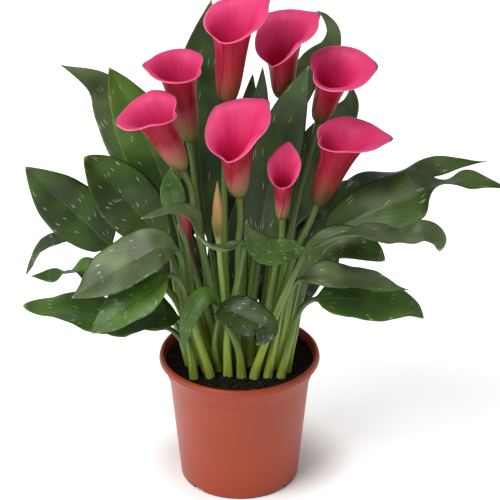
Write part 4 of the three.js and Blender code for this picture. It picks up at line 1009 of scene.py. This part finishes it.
def leaf_look(name, deep, fresh, rib, under, bare=FEW_DASHES):
    """A leaf; deep and fresh are its upper side's greens, and bare is how few dashes it bears."""
    look, tree, shader = new_look(name, 0.42, specular=0.36)
    place, across, k = uv_place(tree)
    signed = maths(tree, "MULTIPLY_ADD", across, 2.0, -1.0)
    v = maths(tree, "ABSOLUTE", signed)

    # Veins leave the midrib at a low angle and run out to the margin
    sweep = maths(tree, "SUBTRACT", k, times(tree, maths(tree, "POWER", v, 0.85), 0.55))
    main_veins = maths(tree, "SINE", times(tree, sweep, MAIN_VEINS))
    fine_veins = maths(tree, "SINE", times(tree, sweep, FINE_VEINS))
    on_blade = spread(tree, k, 0.0, 0.08)

    cloud = noise_of(tree, object_space(tree), scale=22.0, detail=2.0)
    shade = blend(tree, spread(tree, cloud, 0.35, 0.7), deep, fresh)
    vein_lift = maths(tree, "MULTIPLY_ADD", main_veins, 0.04, 1.0)
    vein_lift = maths(tree, "MULTIPLY_ADD", fine_veins, 0.025, vein_lift)
    grey = node(tree, "CombineColor", {0: vein_lift, 1: vein_lift, 2: vein_lift}).outputs[0]
    blade = blend(tree, 1.0, shade, grey, "MULTIPLY")
    below = attribute_of(tree, "side")
    blade = blend(tree, times(tree, below, 0.85), blade, under)

    # The midrib is light, and fades towards the tip
    rib_width = maths(tree, "MULTIPLY_ADD", k, -0.035, 0.055)
    rib_mask = maths(tree, "SUBTRACT", 1.0, spread(tree, maths(tree, "DIVIDE", v, rib_width), 0.2, 1.3))
    rib_mask = times(tree, rib_mask, spread(tree, k, 0.9, 0.1, 0.08, 0.36))
    blade = blend(tree, rib_mask, blade, rib)

    # Short pale dashes lie along the veins
    number = attribute_of(tree, "number")
    half = times(tree, maths(tree, "GREATER_THAN", signed, 0.0), 31.7)
    dash_place = node(tree, "CombineXYZ", {
        "X": maths(tree, "MULTIPLY_ADD", k, DASHES_ALONG, times(tree, number, 3.7)),
        "Y": maths(tree, "MULTIPLY_ADD", sweep, DASH_ROWS, half)}).outputs[0]
    cells = node(tree, "TexVoronoi", {"Vector": dash_place, "Scale": 1.0, "Randomness": 1.0},
                 voronoi_dimensions="2D", feature="F1")
    near = spread(tree, cells.outputs["Distance"], 0.135, 0.075)
    lottery = node(tree, "SeparateColor", {"Color": cells.outputs["Color"]}).outputs[0]
    crowd = noise_of(tree, dash_place, scale=0.35, detail=1.0)
    chosen = spread(tree, maths(tree, "ADD", lottery, times(tree, crowd, 0.9)), bare, bare + 0.03)
    dashes = times(tree, times(tree, near, chosen), on_blade)
    dashes = times(tree, dashes, maths(tree, "SUBTRACT", 1.0, below))
    blade = blend(tree, times(tree, dashes, 0.85), blade, PALE_DASH)
    blade = blend(tree, times(tree, spread(tree, k, 0.965, 0.995), 0.6), blade, DRY_TIP)

    # The stalk is light green, paler at its foot
    stalk = ramp(tree, maths(tree, "ADD", k, 1.0), STALK_TONES)
    dark = streaks_of(tree, place, (30.0, 1.2, 1.0))
    pale = streaks_of(tree, place, (44.0, 0.8, 1.0), detail=2.0, start=(7.0, 3.0, 0.0))
    stalk = blend(tree, spread(tree, dark, 0.42, 0.62, 0.0, 0.65), stalk, DARK_STREAK)
    stalk = blend(tree, spread(tree, pale, 0.52, 0.68, 0.0, 0.55), stalk, PALE_STREAK)
    height = maths(tree, "MULTIPLY_ADD", main_veins, 0.5, times(tree, fine_veins, 0.2))
    finish_look(tree, shader, blend(tree, on_blade, stalk, blade), times(tree, height, on_blade),
                strength=0.1, distance=0.0006)
    return look


def spathe_look(name, foot, neck):
    """A pink spathe; foot and neck are the colours of its tube's lowest part and of what lies over it."""
    look, tree, shader = new_look(name, 0.48, specular=0.22, subsurface=0.2)
    place, u, v = uv_place(tree)
    inner = attribute_of(tree, "side")
    wander = streaks_of(tree, place, (9.0, 1.5, 1.0), detail=4.0)
    level = maths(tree, "MULTIPLY_ADD", maths(tree, "SUBTRACT", wander, 0.5), 0.22, v)
    outer_tones = ramp(tree, level, [(0.0, SPATHE_BASE), (0.18, foot), (0.36, neck), *OUTER_PINKS])
    colour = blend(tree, inner, outer_tones, ramp(tree, level, INNER_PINKS))
    streaks = streaks_of(tree, place, (34.0, 1.6, 1.0))
    colour = blend(tree, spread(tree, streaks, 0.4, 0.8, 0.0, 0.1), colour, PINK_STREAK)
    veins = maths(tree, "SINE", times(tree, u, 300.0))
    from_tip = maths(tree, "ABSOLUTE", maths(tree, "SUBTRACT", u, 0.5))
    # Painted highlight: a pale line along the rim and, more faintly, along the margins, for light caught on
    # the sheet's edge.
    rim = spread(tree, v, 0.975, 0.995)
    margin = spread(tree, from_tip, 0.488, 0.497)
    painted_edge_highlight = maths(tree, "MAXIMUM", times(tree, rim, 0.5), times(tree, margin, 0.15))
    colour = blend(tree, painted_edge_highlight, colour, RIM_PAINTED_HIGHLIGHT)
    tip = times(tree, spread(tree, from_tip, 0.03, 0.008), spread(tree, v, 0.95, 1.0))
    colour = blend(tree, tip, colour, SPATHE_TIP)
    finish_look(tree, shader, colour, maths(tree, "MULTIPLY_ADD", veins, 0.3, streaks),
                strength=0.09, distance=0.0008)
    return look


def stalk_look(name, stops):
    """A round stem or bud, coloured from its foot to its tip, with faint streaks."""
    look, tree, shader = new_look(name, 0.4, specular=0.45)
    place, _, along = uv_place(tree)
    streaks = streaks_of(tree, place, (16.0, 6.0, 1.0))
    faint = spread(tree, streaks, 0.45, 0.75, 0.0, 0.4)
    colour = blend(tree, faint, ramp(tree, along, stops), STEM_STREAK)
    finish_look(tree, shader, colour, streaks, strength=0.2, distance=0.0006)
    return look


def spadix_look():
    look, tree, shader = new_look("orange florets", 0.8, specular=0.2)
    grains = node(tree, "TexVoronoi", {"Vector": object_space(tree), "Scale": 900.0}).outputs["Distance"]
    finish_look(tree, shader, ramp(tree, grains, FLORET_TONES), maths(tree, "SUBTRACT", 1.0, grains),
                strength=0.5, distance=0.0005)
    return look


def pot_look():
    """Satin plastic, a little rubbed, with painted shade on the faces cut by the drainage notches."""
    look, tree, shader = new_look("terracotta plastic", 0.4, specular=0.26)
    space = object_space(tree)
    cloud = noise_of(tree, space, scale=9.0)
    rubs = streaks_of(tree, space, (1.0, 1.0, 12.0), scale=40.0, detail=4.0)
    colour = blend(tree, spread(tree, rubs, 0.6, 0.85, 0.0, 0.25), ramp(tree, cloud, POT_TONES), RUBBED_POT)
    spot = node(tree, "SeparateXYZ", {"Vector": space})
    # Painted shade: the faces cut by the drainage notches are darkened, standing in for the shadow under
    # the pot.
    flat = node(tree, "CombineXYZ", {"X": spot.outputs["X"], "Y": spot.outputs["Y"]}).outputs[0]
    notch_painted_shade = times(tree, spread(tree, spot.outputs["Z"], 0.0042, 0.0036),
                     spread(tree, length_of(tree, flat), 0.0622, 0.0612))
    colour = blend(tree, notch_painted_shade, colour, NOTCH_PAINTED_SHADE)
    tree.links.new(spread(tree, cloud, 0.2, 0.8, 0.34, 0.46), shader.inputs["Roughness"])
    finish_look(tree, shader, colour, noise_of(tree, space, scale=700.0, detail=2.0),
                strength=0.12, distance=0.0004)
    return look


def peat_look():
    look, tree, shader = new_look("moist peat", 0.95, specular=0.15)
    space = object_space(tree)
    crumbs = noise_of(tree, space, scale=420.0, detail=4.0, roughness=0.65)
    specks = node(tree, "TexVoronoi", {"Vector": space, "Scale": 330.0})
    lottery = node(tree, "SeparateColor", {"Color": specks.outputs["Color"]}).outputs[1]
    pale = times(tree, spread(tree, specks.outputs["Distance"], 0.22, 0.12),
                 spread(tree, lottery, 0.9, 0.93))
    colour = blend(tree, pale, ramp(tree, crumbs, PEAT_TONES), PEAT_SPECK)
    finish_look(tree, shader, colour, crumbs, strength=0.9, distance=0.0018)
    return look


def tuber_look():
    look, tree, shader = new_look("corky tuber skin", 0.9, specular=0.2)
    patches = noise_of(tree, object_space(tree), scale=60.0, detail=5.0, roughness=0.6)
    finish_look(tree, shader, ramp(tree, patches, TUBER_TONES), patches, strength=0.7, distance=0.0015)
    return look


def floor_look():
    """A pale floor with a painted glow away from the pot, so that it comes out as light as the photo's;
    where the glow fades near the pot's foot it leaves a painted shadow.
    """
    look, tree, shader = new_look("pale floor", 0.9, specular=0.1)
    shader.inputs["Base Color"].default_value = (STAGE_SHADE, STAGE_SHADE, STAGE_SHADE, 1)
    shader.inputs["Emission Color"].default_value = (1, 1, 1, 1)
    # Painted light: the floor glows, and the glow fades out close to the pot, so that a painted shadow
    # stays round its foot.
    glow = spread(tree, length_of(tree, object_space(tree)), GLOW_FROM, GLOW_TO, 0.0, STAGE_GLOW)
    tree.links.new(glow, shader.inputs["Emission Strength"])
    return look


# The stage


def make_stage():
    bm = bmesh.new()
    bmesh.ops.create_grid(bm, x_segments=1, y_segments=1, size=STAGE_SIZE)
    mesh = mesh_of(bm, "floor")
    mesh.materials.append(floor_look())
    floor = add_object("floor", mesh)
    world = bpy.data.worlds.new("studio")
    bpy.context.scene.world = world
    world.use_nodes = True
    world.node_tree.nodes["Background"].inputs["Color"].default_value = (1, 1, 1, 1)
    world.node_tree.nodes["Background"].inputs["Strength"].default_value = WORLD_LIGHT
    bpy.context.scene.view_settings.view_transform = "Standard"


def place_holder(name, content, place, way):
    """Sets a lamp or camera at a place, looking along a way."""
    holder = add_object(name, content)
    holder.location = place
    holder.rotation_euler = way.to_track_quat("-Z", "Y").to_euler()
    return holder


def add_lamp(name, place, aim, power, size):
    lamp = bpy.data.lights.new(name, "AREA")
    lamp.energy = power
    lamp.size = size
    place_holder(name, lamp, place, Vector(aim) - Vector(place))


def make_camera():
    rise = math.radians(CAMERA_ELEVATION)
    way = Vector((0, math.cos(rise), -math.sin(rise)))
    camera = bpy.data.cameras.new("view")
    camera.lens = CAMERA_LENS
    camera.sensor_width = CAMERA_SENSOR
    place = (Vector(CAMERA_AIM) - CAMERA_DISTANCE * way) * MM
    bpy.context.scene.camera = place_holder("view", camera, place, way)


# The plant in its pot

# Lit and shaded copies of one leaf material: bright is painted light, shaded is painted shade and grey is a
# painted grey sheen; deep is the leaf's own green.
LIT_AND_SHADED_LEAF_LOOKS = {
    "deep": leaf_look("deep green leaf", deep=rgb(34, 54, 14), fresh=rgb(62, 88, 28),
                      rib=rgb(96, 118, 52), under=rgb(74, 96, 46)),
    "shaded": leaf_look("shaded green leaf", deep=rgb(24, 42, 5), fresh=rgb(44, 68, 12),
                        rib=rgb(72, 94, 36), under=rgb(50, 70, 28)),
    "grey": leaf_look("green leaf with painted grey sheen", deep=rgb(54, 70, 36), fresh=rgb(92, 108, 68),
                      rib=rgb(116, 132, 84), under=rgb(108, 122, 84), bare=FEWER_DASHES),
    "bright": leaf_look("green leaf with painted light", deep=rgb(44, 74, 16), fresh=rgb(76, 108, 32),
                        rib=rgb(116, 140, 56), under=rgb(86, 112, 48)),
}
# The leaves that get the painted light, painted shade or painted sheen copy; the others keep the deep
# green.
PAINTED_LIGHT_TONES = {
    "bright": ["left_low", "left_front", "left_bright", "left_inner", "left_twisted", "left_tall",
               "centre_drooped", "right_low"],
    "grey": ["left_over", "left_high", "centre_curled", "right_lower", "right_waved", "right_hooked",
             "right_back"],
    "shaded": ["centre_dome", "middle", "back_left", "back_middle", "back_right"],
}
PALE_FOOTED = {"front", "left", "left_upper", "small"}


def make_leaves():
    painted_light_of = {name: tone for tone, names in PAINTED_LIGHT_TONES.items() for name in names}
    shoots = {}
    for i, spec in enumerate(LEAVES):
        shoots.setdefault(spec["shoot"], []).append((spec, PHASE_STEP * i))
    for name, members in shoots.items():
        bm = bmesh.new()
        for spec, phase in members:
            add_leaf(bm, spec, phase)
        finish_piece(bm, name + "_leaf", ["leaf_" + name], "leaf", LIT_AND_SHADED_LEAF_LOOKS[painted_light_of.get(name, "deep")])


def make_blooms():
    olive = spathe_look("pink spathe with an olive foot", *OLIVE_FOOT)
    pale = spathe_look("pink spathe with a pale foot", *PALE_FOOT)
    spadix = spadix_look()
    stem = stalk_look("green stem", STEM_TONES)
    for spec in BLOOMS:
        name = spec["name"]
        spathe = pale if name in PALE_FOOTED else olive
        for part, add, look in (("stem", add_stem, stem), ("spathe", add_spathe, spathe),
                                ("spadix", add_spadix, spadix)):
            bm = bmesh.new()
            add(bm, spec)
            finish_piece(bm, f"{name}_{part}", [f"bloom_{name}_{part}"], part, look)


def make_buds():
    green = stalk_look("green bud", GREEN_BUD_TONES)
    pink = stalk_look("pink bud", PINK_BUD_TONES)
    for name, bud, slot, look in (("bud_green", GREEN_BUD, "green_bud", green),
                                  ("bud_pink", PINK_BUD, "pink_bud", pink)):
        bm = bmesh.new()
        add_bud(bm, bud)
        finish_piece(bm, name + "_rolled", [name], slot, look)


make_camera()
make_stage()
for lamp_row in LAMPS:
    add_lamp(**lamp_row)
make_leaves()
make_blooms()
make_buds()
make_pot(pot_look())
make_peat(peat_look())
corky = tuber_look()
for tuber_name, spot in TUBERS.items():
    make_tuber(tuber_name, spot, corky)
